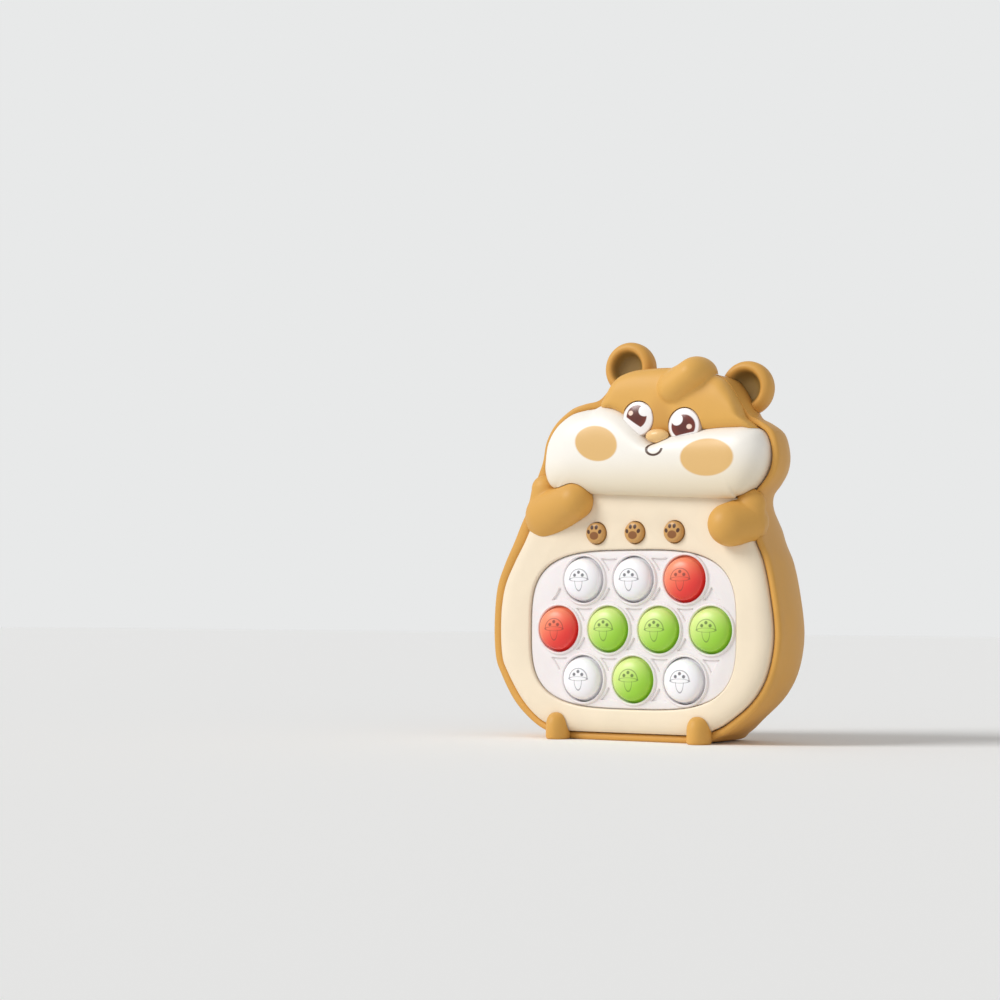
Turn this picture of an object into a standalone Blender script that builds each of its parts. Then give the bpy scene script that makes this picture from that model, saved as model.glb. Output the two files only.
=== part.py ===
# Hand-held light-up bubble game in a chubby hamster case.
# Metres, +Z up. The front faces -Y, +X is the viewer's right, and the origin is the middle of the base.

import math

import bmesh
import bpy
from mathutils import Matrix, Vector

# Clearances shared by all pieces
fit_gap = 0.0003            # between pieces that touch or slide
cut_overrun = 0.002         # how far a cutting shape runs past what it cuts
weld_bite = 0.0006          # how far a rib or boss sinks into its wall

# Case, seen from the front
case_half_width = 0.0594
crown_height = 0.1343
case_depth = 0.0370         # front edge of the rim to the flat back
front_reach = 0.0125        # how far the arms stand proud of the rim
rim_width = 0.0026
rim_lip = 0.0006
case_wall = 0.0022
back_round_depth = 0.0285
back_round_inset = 0.0140
back_round_steps = 4
head_round_inset = 0.0230   # the head's sides round off from behind the plates to the back
head_round_shares = (0.558, 0.707)  # the body's rounding gives way to the head's between these heights
base_round = 0.0030         # what is left of the back's rounding at the flat base
base_round_top_z = 0.0120   # height where the back's rounding is whole
case_outline_count = 72
case_outline_shares = [
    (0.404, 0.000), (0.589, 0.019), (0.715, 0.052), (0.847, 0.101), (0.936, 0.160),
    (0.985, 0.231), (0.998, 0.305), (0.970, 0.402), (0.929, 0.480), (0.879, 0.532),
    (0.848, 0.581), (0.842, 0.625), (0.867, 0.659), (0.923, 0.685), (0.970, 0.719),
    (0.983, 0.762), (0.951, 0.815), (0.875, 0.843), (0.805, 0.859), (0.768, 0.879),
    (0.732, 0.904), (0.682, 0.938), (0.623, 0.965), (0.522, 0.980), (0.370, 0.995),
    (0.227, 1.000), (0.054, 0.999), (-0.032, 0.992), (-0.109, 0.975), (-0.168, 0.947),
    (-0.236, 0.922), (-0.337, 0.914), (-0.446, 0.900), (-0.556, 0.864), (-0.623, 0.815),
    (-0.650, 0.759), (-0.699, 0.707), (-0.734, 0.652), (-0.805, 0.591), (-0.862, 0.537),
    (-0.924, 0.483), (-0.983, 0.413), (-1.003, 0.316), (-0.993, 0.226), (-0.955, 0.177),
    (-0.850, 0.101), (-0.719, 0.046), (-0.589, 0.016), (-0.404, 0.000),
]
core_half_share = 0.3367    # the walls round off towards an inner line, which has this half width
core_height_shares = (0.223, 0.767)
head_offset_share = 0.202   # the head sits to the viewer's right of the body
core_reach_share = 0.80     # how far towards the inner line the rounding may go

# Belly plate
belly_proud = 0.0035        # plate face in front of the rim
plate_wall = 0.0020
plate_round = 0.0060
plate_round_steps = 3
skirt_depth = 0.0050        # how far the plates reach into the case
chin_share = 0.6627
chin_slope_share = -0.055

# Cheeks
cheek_reach = 0.0100        # how far the cheeks stand proud of the rim
cheek_side = 0.0010         # straight side above the rim before the cheeks swell
cheek_side_rise = 0.0120    # height over which that side drops from the belly plate's face to the rim
cheek_overhang = 0.0008     # how far the cheeks hang over the belly plate
cheek_wall = 0.0020
cheek_spine_shares = [(-0.2458, 0.7781), (0.6970, 0.7409)]
cheek_line_shares = [       # top edge of the cheeks, from the left end to the right end
    (-0.253, 0.8980), (-0.194, 0.9002), (-0.135, 0.8980), (-0.076, 0.8898), (-0.017, 0.8742),
    (0.042, 0.8526), (0.101, 0.8265), (0.152, 0.8071), (0.209, 0.7960), (0.293, 0.8086),
    (0.394, 0.8206), (0.520, 0.8295), (0.641, 0.8340), (0.741, 0.8340), (0.800, 0.8332),
    (0.850, 0.8265), (0.875, 0.8213),
]
cheek_line_count = 26
crown_cover_ramp = 2        # points over which the crown comes out over the rim
chin_line_count = 14
swell_shares = [(0.05, 0.38), (0.16, 0.66), (0.36, 0.89), (0.65, 1.00)]

# Head
head_proud = 0.0065         # forehead in front of the rim
head_spine_shares = [(-0.0606, 0.9121), (0.7155, 0.8675)]
tuft_spot_shares = [(0.3451, 0.9397), (0.4798, 0.9769)]    # root and tip
tuft_root_radius = 0.0065
tuft_tip_radius = 0.0059
tuft_half_depth = 0.0095

# Ears
ear_radius = 0.0098
ear_depth = 0.0090
ear_front_back = 0.0080     # ear's front edge behind the rim's front edge
ear_spot_shares = {"left_ear": (-0.1195, 1.0141), "right_ear": (0.6869, 0.9419)}
ear_profile_shares = [      # radius and depth, from the hollow round the rim to the back
    (0.00, 0.44), (0.46, 0.42), (0.62, 0.16), (0.78, 0.00), (0.95, 0.14),
    (1.00, 0.42), (0.93, 0.76), (0.66, 0.96), (0.00, 1.00),
]
ear_segments = 20

# Eyes and nose
eye_radius = 0.0063
eye_proud = 0.0062          # eye centre in front of the rim
eye_bulge = 0.0010
eye_length = 0.0060
eye_spot_shares = {"left_eye": (0.0976, 0.8615), "right_eye": (0.4125, 0.8377)}
eye_segments = 20
nose_spot_share = (0.2475, 0.8146)
nose_half_width = 0.0044
nose_half_height = 0.0026
nose_half_depth = 0.0024
nose_proud = 0.0068

# Arms and feet
arm_half_depth = 0.0070
arm_root_back = 0.0015      # an arm's root behind the rim's front edge
arm_spot_shares = {         # root and hand
    "left_arm": [(-0.6263, 0.6180), (-0.3418, 0.6448)],
    "right_arm": [(0.7946, 0.5920), (0.7121, 0.5719)],
}
left_arm_root_radius = 0.0092
left_arm_hand_radius = 0.0069
right_arm_root_radius = 0.0084
right_arm_hand_radius = 0.0078
limb_round_steps = 4
limb_segments = 18
foot_centre_share = -0.0017
foot_spread_share = 0.4882
foot_half_width = 0.0041
foot_half_depth = 0.0056
foot_height = 0.0098
foot_forward = 0.0024       # foot centre in front of the rim
foot_profile_shares = [     # width and height, from the sole up
    (0.90, 0.00), (1.00, 0.10), (1.00, 0.50), (0.93, 0.74), (0.72, 0.91), (0.38, 0.985),
]

# Bubble window, mat and bubbles
window_half_width = 0.0425
window_half_height = 0.0288
window_x = 0.0012
window_z = 0.0402
window_power = 3.4          # 2 is an ellipse, larger is squarer
window_count = 48
mat_sink = 0.0015           # mat face behind the plate face
mat_flange = 0.0010         # how far the mat runs on behind the plate
mat_flange_thickness = 0.0012
bubble_x = 0.0024           # middle of the bubbles, to the viewer's right of the case's middle
bubble_pitch = 0.0208
bubble_row_pitch = 0.0180
bubble_rows = [3, 4, 3]
bubble_radius = 0.0082
bubble_height = 0.0046      # crown in front of the mat face
bubble_wall = 0.0012
bubble_edge = 0.0008        # straight side of a bubble in front of the mat face
bubble_flange = 0.0012      # flange outside the skirt
bubble_flange_thickness = 0.0010
bubble_post_radius = 0.0020
bubble_post_length = 0.0014
bubble_travel = 0.0035
bubble_segments = 16
mat_ring_outer = 0.0094
mat_ring_height = 0.0013
mat_ring_wall_share = 0.45  # place of the ring's crest across its width
mat_ring_segments = 16

# Keys
key_radius = 0.0038
key_pitch = 0.0160
key_x = 0.0034
key_z = 0.0750
key_proud = 0.0020
key_flange = 0.0007
key_flange_thickness = 0.0010
key_stem_radius = 0.0016
key_travel = 0.0008
key_segments = 12
key_names = ["mode", "power", "volume"]

# Circuit board and switches
board_thickness = 0.0016
board_tab_half_width = 0.0220
board_tab_top = 0.0810
switch_size = 0.0046
switch_body_height = 0.0019
switch_button_radius = 0.0012
switch_button_height = 0.0008
lamp_size = 0.0030
lamp_height = 0.0014
lamp_offset = 0.0055        # lamp beside its switch

# Battery bay, for three AAA cells side by side
cell_radius = 0.00525
cell_length = 0.0445
cell_nub_radius = 0.0019
cell_nub_length = 0.0008
cell_count = 3
cell_gap = 0.0006
cell_segments = 16
contact_thickness = 0.0005
contact_margin = 0.0012
spring_length = 0.0020
spring_base_radius = 0.0030
spring_tip_radius = 0.0018
bay_centre_z = 0.0440
bay_wall = 0.0016
door_thickness = 0.0018
door_ledge = 0.0015
door_tongue_half_width = 0.0060
door_tongue_length = 0.0075
door_boss_depth = 0.0080
tab_width = 0.0060
tab_thickness = 0.0012
tab_reach = 0.0022
tab_spread = 0.0130
tab_slot_depth = 0.0030
door_swing_gap = 0.0006

# Screws
screw_shaft_radius = 0.00125
screw_head_radius = 0.0024
screw_head_height = 0.0011
screw_segments = 12
door_screw_length = 0.0048
bore_play = 0.0005
case_screw_length = 0.0100
case_boss_radius = 0.0038
case_boss_floor = 0.0020
case_post_radius = 0.0030
case_post_end = 0.0130      # where posts and bosses meet, behind the rim's front edge
upper_post_x = 0.0385
upper_post_z = 0.0675
lower_post_x = 0.0348
lower_post_z = 0.0108

# Loudspeaker in the back of the head
speaker_spot_share = (0.1515, 0.7409)
speaker_radius = 0.0140
speaker_rim = 0.0016
speaker_rim_thickness = 0.0012
speaker_depth = 0.0095
speaker_magnet_radius = 0.0070
speaker_magnet_height = 0.0040
speaker_cone_thickness = 0.0004
speaker_ring_wall = 0.0014
speaker_ring_height = 0.0026
speaker_segments = 24
grille_slots = 7
grille_pitch = 0.0034
grille_width = 0.0018
grille_radius = 0.0125

# Inside wiring
lead_radius = 0.0007
lead_steps = 10
lead_board_x = -0.0330
lead_board_z = 0.0500
speaker_lead_z = 0.0755
support_radius = 0.0022
support_x = 0.0180
support_spread_z = 0.0110

# Places and depths worked out from the sizes above
core_half_width = core_half_share * case_half_width
core_low_z, core_high_z = (share * crown_height for share in core_height_shares)
head_offset = head_offset_share * case_half_width
chin_z = chin_share * crown_height
speaker_x = speaker_spot_share[0] * case_half_width
speaker_z = speaker_spot_share[1] * crown_height
rim_y = (front_reach - case_depth) / 2
back_y = rim_y + case_depth
straight_end_y = back_y - back_round_depth
belly_y = rim_y - belly_proud
plate_back_y = rim_y + skirt_depth
mat_y = belly_y + mat_sink
mat_flange_y = belly_y + plate_wall + fit_gap
mat_back_y = mat_flange_y + mat_flange_thickness
grid_front_y = mat_back_y + fit_gap
bubble_flange_y = grid_front_y
bubble_back_y = bubble_flange_y + bubble_flange_thickness
bubble_tip_y = bubble_back_y - bubble_wall + bubble_post_length - fit_gap
switch_tip_y = bubble_tip_y + bubble_travel + fit_gap
switch_base_y = switch_tip_y + switch_body_height + switch_button_height
board_y = switch_base_y + fit_gap
board_back_y = board_y + board_thickness
grid_back_y = board_y - fit_gap
cheek_side_y = belly_y - fit_gap - cheek_side
window_edge = window_half_width - fit_gap
inner_edge = rim_width + fit_gap
parting_y = rim_y + case_post_end
bay_back_y = back_y - door_thickness - fit_gap
bay_floor_y = bay_back_y - 2 * (cell_radius + fit_gap)
bay_half_height = cell_count * cell_radius + (cell_count - 1) * cell_gap / 2 + fit_gap
contact_space = contact_thickness + 2 * fit_gap
bay_half_width = (cell_length + spring_length + 2 * contact_space) / 2
bay_low_z = bay_centre_z - bay_half_height
bay_high_z = bay_centre_z + bay_half_height
door_low_z = bay_low_z - door_ledge
door_high_z = bay_high_z + door_ledge
door_half_width = bay_half_width + door_ledge - fit_gap
door_tongue_z = door_high_z + door_tongue_length
door_screw_z = door_high_z + door_tongue_length / 2

colours = {
    "tan": (0.57, 0.33, 0.10, 1.0),
    "cream": (0.94, 0.82, 0.62, 1.0),
    "white": (0.92, 0.90, 0.86, 1.0),
    "eye": (0.90, 0.88, 0.86, 1.0),
    "nose": (0.75, 0.46, 0.18, 1.0),
    "mat": (0.84, 0.82, 0.90, 1.0),
    "grid": (0.80, 0.80, 0.80, 1.0),
    "red": (0.86, 0.10, 0.06, 1.0),
    "green": (0.42, 0.68, 0.09, 1.0),
    "unlit": (0.88, 0.87, 0.90, 1.0),
    "board": (0.03, 0.22, 0.08, 1.0),
    "switch": (0.05, 0.05, 0.05, 1.0),
    "steel": (0.60, 0.60, 0.62, 1.0),
    "cell": (0.10, 0.10, 0.12, 1.0),
    "paper": (0.04, 0.04, 0.04, 1.0),
    "lead": (0.45, 0.03, 0.02, 1.0),
}
bubble_lights = ["unlit", "unlit", "red", "red", "green", "green", "green", "unlit", "green", "unlit"]


# Scene and materials

def clear_scene():
    for thing in list(bpy.data.objects):
        bpy.data.objects.remove(thing)


def material(colour):
    found = bpy.data.materials.get(colour)
    if found:
        return found
    made = bpy.data.materials.new(colour)
    made.use_nodes = True
    shader = made.node_tree.nodes["Principled BSDF"]
    shader.inputs["Base Color"].default_value = colours[colour]
    shader.inputs["Roughness"].default_value = 0.25 if colour == "steel" else 0.45
    shader.inputs["Metallic"].default_value = 1.0 if colour == "steel" else 0.0
    return made


def add_object(name, mesh_shape, colour="tan"):
    mesh = bpy.data.meshes.new(name)
    mesh_shape.to_mesh(mesh)
    mesh_shape.free()
    thing = bpy.data.objects.new(name, mesh)
    bpy.context.scene.collection.objects.link(thing)
    mesh.materials.append(material(colour))
    return thing


def finish(thing, name, colour):
    # One material, smooth faces with sharp edges kept, and its own name.
    thing.name = name
    thing.data.name = name
    thing.data.materials.clear()
    thing.data.materials.append(material(colour))
    for face in thing.data.polygons:
        face.material_index = 0
    thing.data.shade_smooth()
    thing.data.set_sharp_from_angle(angle=math.radians(35.0))
    return thing


def combine(target, other, operation):
    # Boolean on the target, written into its mesh, so that the other shape can go.
    modifier = target.modifiers.new("combine", "BOOLEAN")
    modifier.object = other
    modifier.operation = operation
    modifier.solver = "EXACT"
    graph = bpy.context.evaluated_depsgraph_get()
    result = bpy.data.meshes.new_from_object(target.evaluated_get(graph))
    target.modifiers.clear()
    target.data = result
    bpy.data.objects.remove(other)
    return target


def add(target, other):
    return combine(target, other, "UNION")


def cut(target, other):
    return combine(target, other, "DIFFERENCE")


def keep_inside(target, other):
    return combine(target, other, "INTERSECT")


def join(name, things):
    # Several separate shapes as one mesh, for one Boolean.
    whole = bmesh.new()
    for thing in things:
        thing.data.transform(thing.matrix_basis)
        whole.from_mesh(thing.data)
        bpy.data.objects.remove(thing)
    return add_object(name, whole)


# Outlines in the X-Z plane, counter-clockwise as seen from the front

def smooth_curve(points, steps, closed):
    # Catmull-Rom curve through the given points.
    count = len(points)
    spans = count if closed else count - 1
    curve = []
    for span in range(spans):
        near = [points[(span + k) % count] if closed else points[min(max(span + k, 0), count - 1)]
                for k in (-1, 0, 1, 2)]
        for step in range(steps):
            t = step / steps
            weights = (
                -0.5 * t + t * t - 0.5 * t ** 3,
                1.0 - 2.5 * t * t + 1.5 * t ** 3,
                0.5 * t + 2.0 * t * t - 1.5 * t ** 3,
                -0.5 * t * t + 0.5 * t ** 3,
            )
            curve.append(tuple(sum(w * p[axis] for w, p in zip(weights, near)) for axis in (0, 1)))
    if not closed:
        curve.append(tuple(points[-1]))
    return curve


def even_points(curve, count):
    # The same closed curve with evenly spaced points.
    lengths = [0.0]
    for here, there in zip(curve, curve[1:] + curve[:1]):
        lengths.append(lengths[-1] + math.dist(here, there))
    ring = curve + curve[:1]
    points = []
    span = 0
    for index in range(count):
        target = lengths[-1] * index / count
        while lengths[span + 1] < target:
            span += 1
        share = (target - lengths[span]) / (lengths[span + 1] - lengths[span])
        points.append(tuple(a + (b - a) * share for a, b in zip(ring[span], ring[span + 1])))
    return points


def offset(points, distance):
    # Moves an outline outwards, or inwards where the distance is negative.
    count = len(points)
    moved = []
    for index, (x, z) in enumerate(points):
        before = Vector(points[index - 1])
        after = Vector(points[(index + 1) % count])
        first = (Vector((x, z)) - before).normalized()
        second = (after - Vector((x, z))).normalized()
        first_normal = Vector((first.y, -first.x))
        second_normal = Vector((second.y, -second.x))
        blend = 1.0 + first_normal.dot(second_normal)
        shift = (first_normal + second_normal) * (distance / max(blend, 0.5))
        moved.append((x + shift.x, z + shift.y))
    return moved


def clip(points, reach):
    # Keeps the part of an outline where reach(point) is positive.
    kept = []
    for here, there in zip(points, points[1:] + points[:1]):
        a = reach(here)
        b = reach(there)
        if a >= 0:
            kept.append(here)
        if (a >= 0) != (b >= 0):
            share = a / (a - b)
            kept.append(tuple(p + (q - p) * share for p, q in zip(here, there)))
    return kept


def is_inside(point, outline):
    x, z = point
    crossings = 0
    for (x0, z0), (x1, z1) in zip(outline, outline[1:] + outline[:1]):
        if (z0 > z) != (z1 > z) and x < x0 + (x1 - x0) * (z - z0) / (z1 - z0):
            crossings += 1
    return crossings % 2 == 1


def superellipse(half_width, half_height):
    # Rounded outline about the middle of the bubble window.
    points = []
    for index in range(window_count):
        angle = 2 * math.pi * index / window_count
        c = math.cos(angle)
        s = math.sin(angle)
        x = half_width * math.copysign(abs(c) ** (2 / window_power), c)
        z = half_height * math.copysign(abs(s) ** (2 / window_power), s)
        points.append((window_x + x, window_z + z))
    return points


def on_case(point):
    # A point given as shares of the case's half width and of the crown's height.
    return point[0] * case_half_width, point[1] * crown_height


def case_outline():
    points = [on_case(point) for point in case_outline_shares]
    curve = smooth_curve(points, 12, closed=True)
    curve = [(x, max(z, 0)) for x, z in curve]
    reach = max(abs(x) for x, z in curve)
    points = even_points([(x * case_half_width / reach, z) for x, z in curve], case_outline_count)
    return points


def core_way(x, z):
    # Way from a point to the case's inner line, which leans from the body to the head.
    core_z = min(max(z, core_low_z), core_high_z)
    centre = head_offset * (core_z - core_low_z) / (core_high_z - core_low_z)
    core_x = min(max(x, centre - core_half_width), centre + core_half_width)
    return Vector((core_x - x, core_z - z))


def inset_case(outline, distance):
    moved = []
    for x, z in outline:
        way = core_way(x, z).normalized() * distance
        moved.append((x + way.x, z + way.y))
    return moved


def smooth_share(value, low, high):
    # Rises smoothly from 0 to 1 between two values.
    share = min(max((value - low) / (high - low), 0), 1)
    return share * share * (3 - 2 * share)


def rounded(outline, y, wall_back=0):
    # The outline drawn in at one depth. The sides round off to the back, and the base stays flat.
    turn = max(0, y - straight_end_y) / (back_round_depth - wall_back)
    body = back_round_inset * (1 - math.sqrt(max(0, 1 - turn ** 2)))
    head = head_round_inset * (max(0, y - plate_back_y) / (back_y - wall_back - plate_back_y)) ** 2
    base = max(0, body - back_round_inset + base_round)
    moved = []
    for x, z in outline:
        way = core_way(x, z)
        reach = way.length * core_reach_share
        way.normalize()
        head_share = smooth_share(z / crown_height, *head_round_shares)
        base_share = 1 - smooth_share(z, 0, base_round_top_z)
        sideways = min(body + (head - body) * head_share, reach)
        upwards = min(body + (base - body) * base_share, reach)
        moved.append((x + way.x * sideways, z + way.y * upwards))
    return moved


def round_depths(wall_back=0):
    # Depths of the rings between the rim and the flat back.
    depths = [(rim_y + straight_end_y) / 2, straight_end_y]
    for step in range(1, back_round_steps + 1):
        angle = math.pi / 2 * step / back_round_steps
        depths.append(straight_end_y + (back_round_depth - wall_back) * math.sin(angle))
    return depths


def chin_line(x):
    return chin_z + chin_slope_share * x


def cheek_line_curve():
    points = [on_case(point) for point in cheek_line_shares]
    return smooth_curve(points, 8, closed=False)


def height_on(curve, x):
    # Height of an open left-to-right curve at x, carried on level past its ends.
    if x <= curve[0][0]:
        return curve[0][1]
    for (x0, z0), (x1, z1) in zip(curve, curve[1:]):
        if x <= x1:
            return z0 + (z1 - z0) * (x - x0) / (x1 - x0)
    return curve[-1][1]


def cover_rim(crown):
    # The crown's edge moved outwards, to lie over the rim, with its two ends left in place.
    moved = []
    for index, (x, z) in enumerate(crown):
        share = min(1, index / crown_cover_ramp, (len(crown) - 1 - index) / crown_cover_ramp)
        way = core_way(x, z).normalized() * (rim_width * share)
        moved.append((x - way.x, z - way.y))
    return moved


def split_head(outline):
    # Cheek outline, and forehead outline inside the rim and over it. All share the cheeks' top edge.
    region = clip(inset_case(outline, inner_edge), lambda p: p[1] - chin_line(p[0]) - fit_gap)
    curve = cheek_line_curve()
    above = [p[1] > height_on(curve, p[0]) for p in region]
    start = next(i for i in range(len(region)) if above[i] and not above[i - 1])
    region = region[start:] + region[:start]
    above = above[start:] + above[:start]
    crown_count = above.index(False)
    crown = region[:crown_count]
    sides = region[crown_count:]
    right_x = (crown[0][0] + sides[-1][0]) / 2
    left_x = (crown[-1][0] + sides[0][0]) / 2
    xs = [right_x + (left_x - right_x) * i / cheek_line_count for i in range(cheek_line_count + 1)]
    line = [(x, height_on(curve, x)) for x in xs]
    line = [point for point in line if is_inside(point, region)]
    left_side = [p for p in sides if p[0] < 0]
    right_side = [p for p in sides if p[0] >= 0]
    low_left = left_side[-1]
    low_right = right_side[0]
    chin = []
    for i in range(1, chin_line_count):
        share = i / chin_line_count
        chin.append(tuple(a + (b - a) * share for a, b in zip(low_left, low_right)))
    cheeks = line + left_side + chin + right_side
    lower = offset(cheeks, fit_gap)[:len(line)]
    line = lower[::-1][1:-1]
    return cheeks, crown + line, cover_rim(crown) + line


def spine_point(point, left, right):
    x = min(max(point[0], left[0]), right[0])
    z = left[1] + (right[1] - left[1]) * (x - left[0]) / (right[0] - left[0])
    return x, z


def towards(points, share, left, right):
    # Each point moved a share of its way to the spine between two points.
    moved = []
    for point in points:
        goal = spine_point(point, left, right)
        moved.append(tuple(a + (b - a) * share for a, b in zip(point, goal)))
    return moved


# Solids from outlines and rings

def ring_at(points, y):
    return [Vector((x, y, z)) for x, z in points]


def skin(rings, hollow=False):
    # Closed body over a list of rings. A ring of one point is a pole, and a hollow one joins its ends.
    shape = bmesh.new()
    loops = [[shape.verts.new(point) for point in ring] for ring in rings]
    pairs = list(zip(loops, loops[1:]))
    if hollow:
        pairs.append((loops[-1], loops[0]))
    for near, far in pairs:
        count = max(len(near), len(far))
        for i in range(count):
            j = (i + 1) % count
            if len(near) == 1:
                shape.faces.new((near[0], far[j], far[i]))
            elif len(far) == 1:
                shape.faces.new((near[i], near[j], far[0]))
            else:
                shape.faces.new((near[i], near[j], far[j], far[i]))
    for loop in (loops[0], loops[-1]):
        if len(loop) > 2 and not hollow:
            shape.faces.new(loop)
    bmesh.ops.recalc_face_normals(shape, faces=shape.faces)
    return shape


def prism(points, front_y, end_y):
    return add_object("prism", skin([ring_at(points, front_y), ring_at(points, end_y)]))


def turned(profile, segments, x=0.0, z=0.0, hollow=False):
    # Body turned about a line along Y through x and z. The profile holds radius and y.
    rings = []
    for radius, y in profile:
        if radius == 0:
            rings.append([Vector((x, y, z))])
            continue
        angles = [2 * math.pi * i / segments for i in range(segments)]
        rings.append([Vector((x + radius * math.cos(a), y, z + radius * math.sin(a))) for a in angles])
    return skin(rings, hollow)


def cylinder(x, z, radius, front_y, end_y, segments=screw_segments):
    return add_object("cylinder", turned([(radius, front_y), (radius, end_y)], segments, x, z))


def block(low, high):
    shape = bmesh.new()
    bmesh.ops.create_cube(shape, size=1.0)
    for corner in shape.verts:
        corner.co = Vector(tuple(h if c > 0 else l for c, l, h in zip(corner.co, low, high)))
    return add_object("block", shape)


def ellipsoid(centre, half_sizes):
    shape = bmesh.new()
    bmesh.ops.create_uvsphere(shape, u_segments=16, v_segments=8, radius=1.0)
    place = Matrix.Translation(centre) @ Matrix.Diagonal((*half_sizes, 1.0))
    bmesh.ops.transform(shape, matrix=place, verts=shape.verts)
    return add_object("ellipsoid", shape)


def limb(start, end, radii, half_depth, growth=0.0):
    # A rounded limb between two points, with a half ball at each end.
    along = (end - start).normalized()
    across = Vector((-along.z, 0, along.x)).normalized()
    depth = along.cross(across) * (half_depth + growth)
    start_radius, end_radius = (radius + growth for radius in radii)
    angles = [math.pi / 2 * step / limb_round_steps for step in range(limb_round_steps)]
    stations = [(start - along * start_radius * math.sin(a), start_radius, math.cos(a)) for a in angles[::-1]]
    stations += [(end + along * end_radius * math.sin(a), end_radius, math.cos(a)) for a in angles]
    rings = [[start - along * start_radius]]
    for centre, radius, share in stations:
        turns = [2 * math.pi * i / limb_segments for i in range(limb_segments)]
        wide = across * radius
        rings.append([centre + (wide * math.cos(t) + depth * math.sin(t)) * share for t in turns])
    rings.append([end + along * end_radius])
    return add_object("limb", skin(rings))


def case_rings(outline, first_inset, wall_inset, wall_back):
    # Rings of the tub from its mouth to its back, at one distance inside the outer surface.
    rings = [ring_at(inset_case(outline, first_inset), rim_y)]
    if wall_inset == 0:
        rings.append(ring_at(outline, rim_y + rim_lip))
    wall = inset_case(outline, wall_inset)
    rings += [ring_at(rounded(wall, y, wall_back), y) for y in round_depths(wall_back)]
    return rings


def grown_case(outline):
    # The case as a solid block, grown by the fit gap, to cut what rests on it.
    rings = [ring_at(offset(outline, fit_gap), rim_y - fit_gap)]
    rings += [ring_at(offset(rounded(outline, y), fit_gap), y + fit_gap) for y in round_depths()]
    return add_object("grown_case", skin(rings))


# Case, plates and face

def belly_outline(outline):
    return clip(inset_case(outline, inner_edge), lambda p: chin_line(p[0]) - p[1])


def belly_inset(points, distance):
    # Rounds the sides and the foot of the belly, and leaves its edge under the chin straight.
    moved = []
    for x, z in points:
        core_x = min(max(x, -core_half_width), core_half_width)
        way = Vector((core_x - x, max(z, core_low_z) - z))
        if way.length > 0:
            way = way.normalized() * min(distance, way.length)
        moved.append((x + way.x, z + way.y))
    return moved


def belly_rings(points, growth):
    rings = [ring_at(offset(points, growth), plate_back_y)]
    rings.append(ring_at(offset(points, growth), rim_y - growth))
    for step in range(1, plate_round_steps + 1):
        angle = math.pi / 2 * step / plate_round_steps
        inset = plate_round * (1 - math.cos(angle))
        y = rim_y - belly_proud * math.sin(angle) - growth
        rings.append(ring_at(offset(belly_inset(points, inset), growth), y))
    return rings


def bubble_spots():
    spots = []
    for row, count in enumerate(bubble_rows):
        z = window_z + bubble_row_pitch * ((len(bubble_rows) - 1) / 2 - row)
        for column in range(count):
            spots.append((bubble_x + bubble_pitch * (column - (count - 1) / 2), z))
    return spots


def key_spots():
    middle = (len(key_names) - 1) / 2
    return [(key_x + key_pitch * (index - middle), key_z) for index in range(len(key_names))]


def post_spots():
    return [(side * x, z) for x, z in ((upper_post_x, upper_post_z), (lower_post_x, lower_post_z))
            for side in (-1, 1)]


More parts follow.
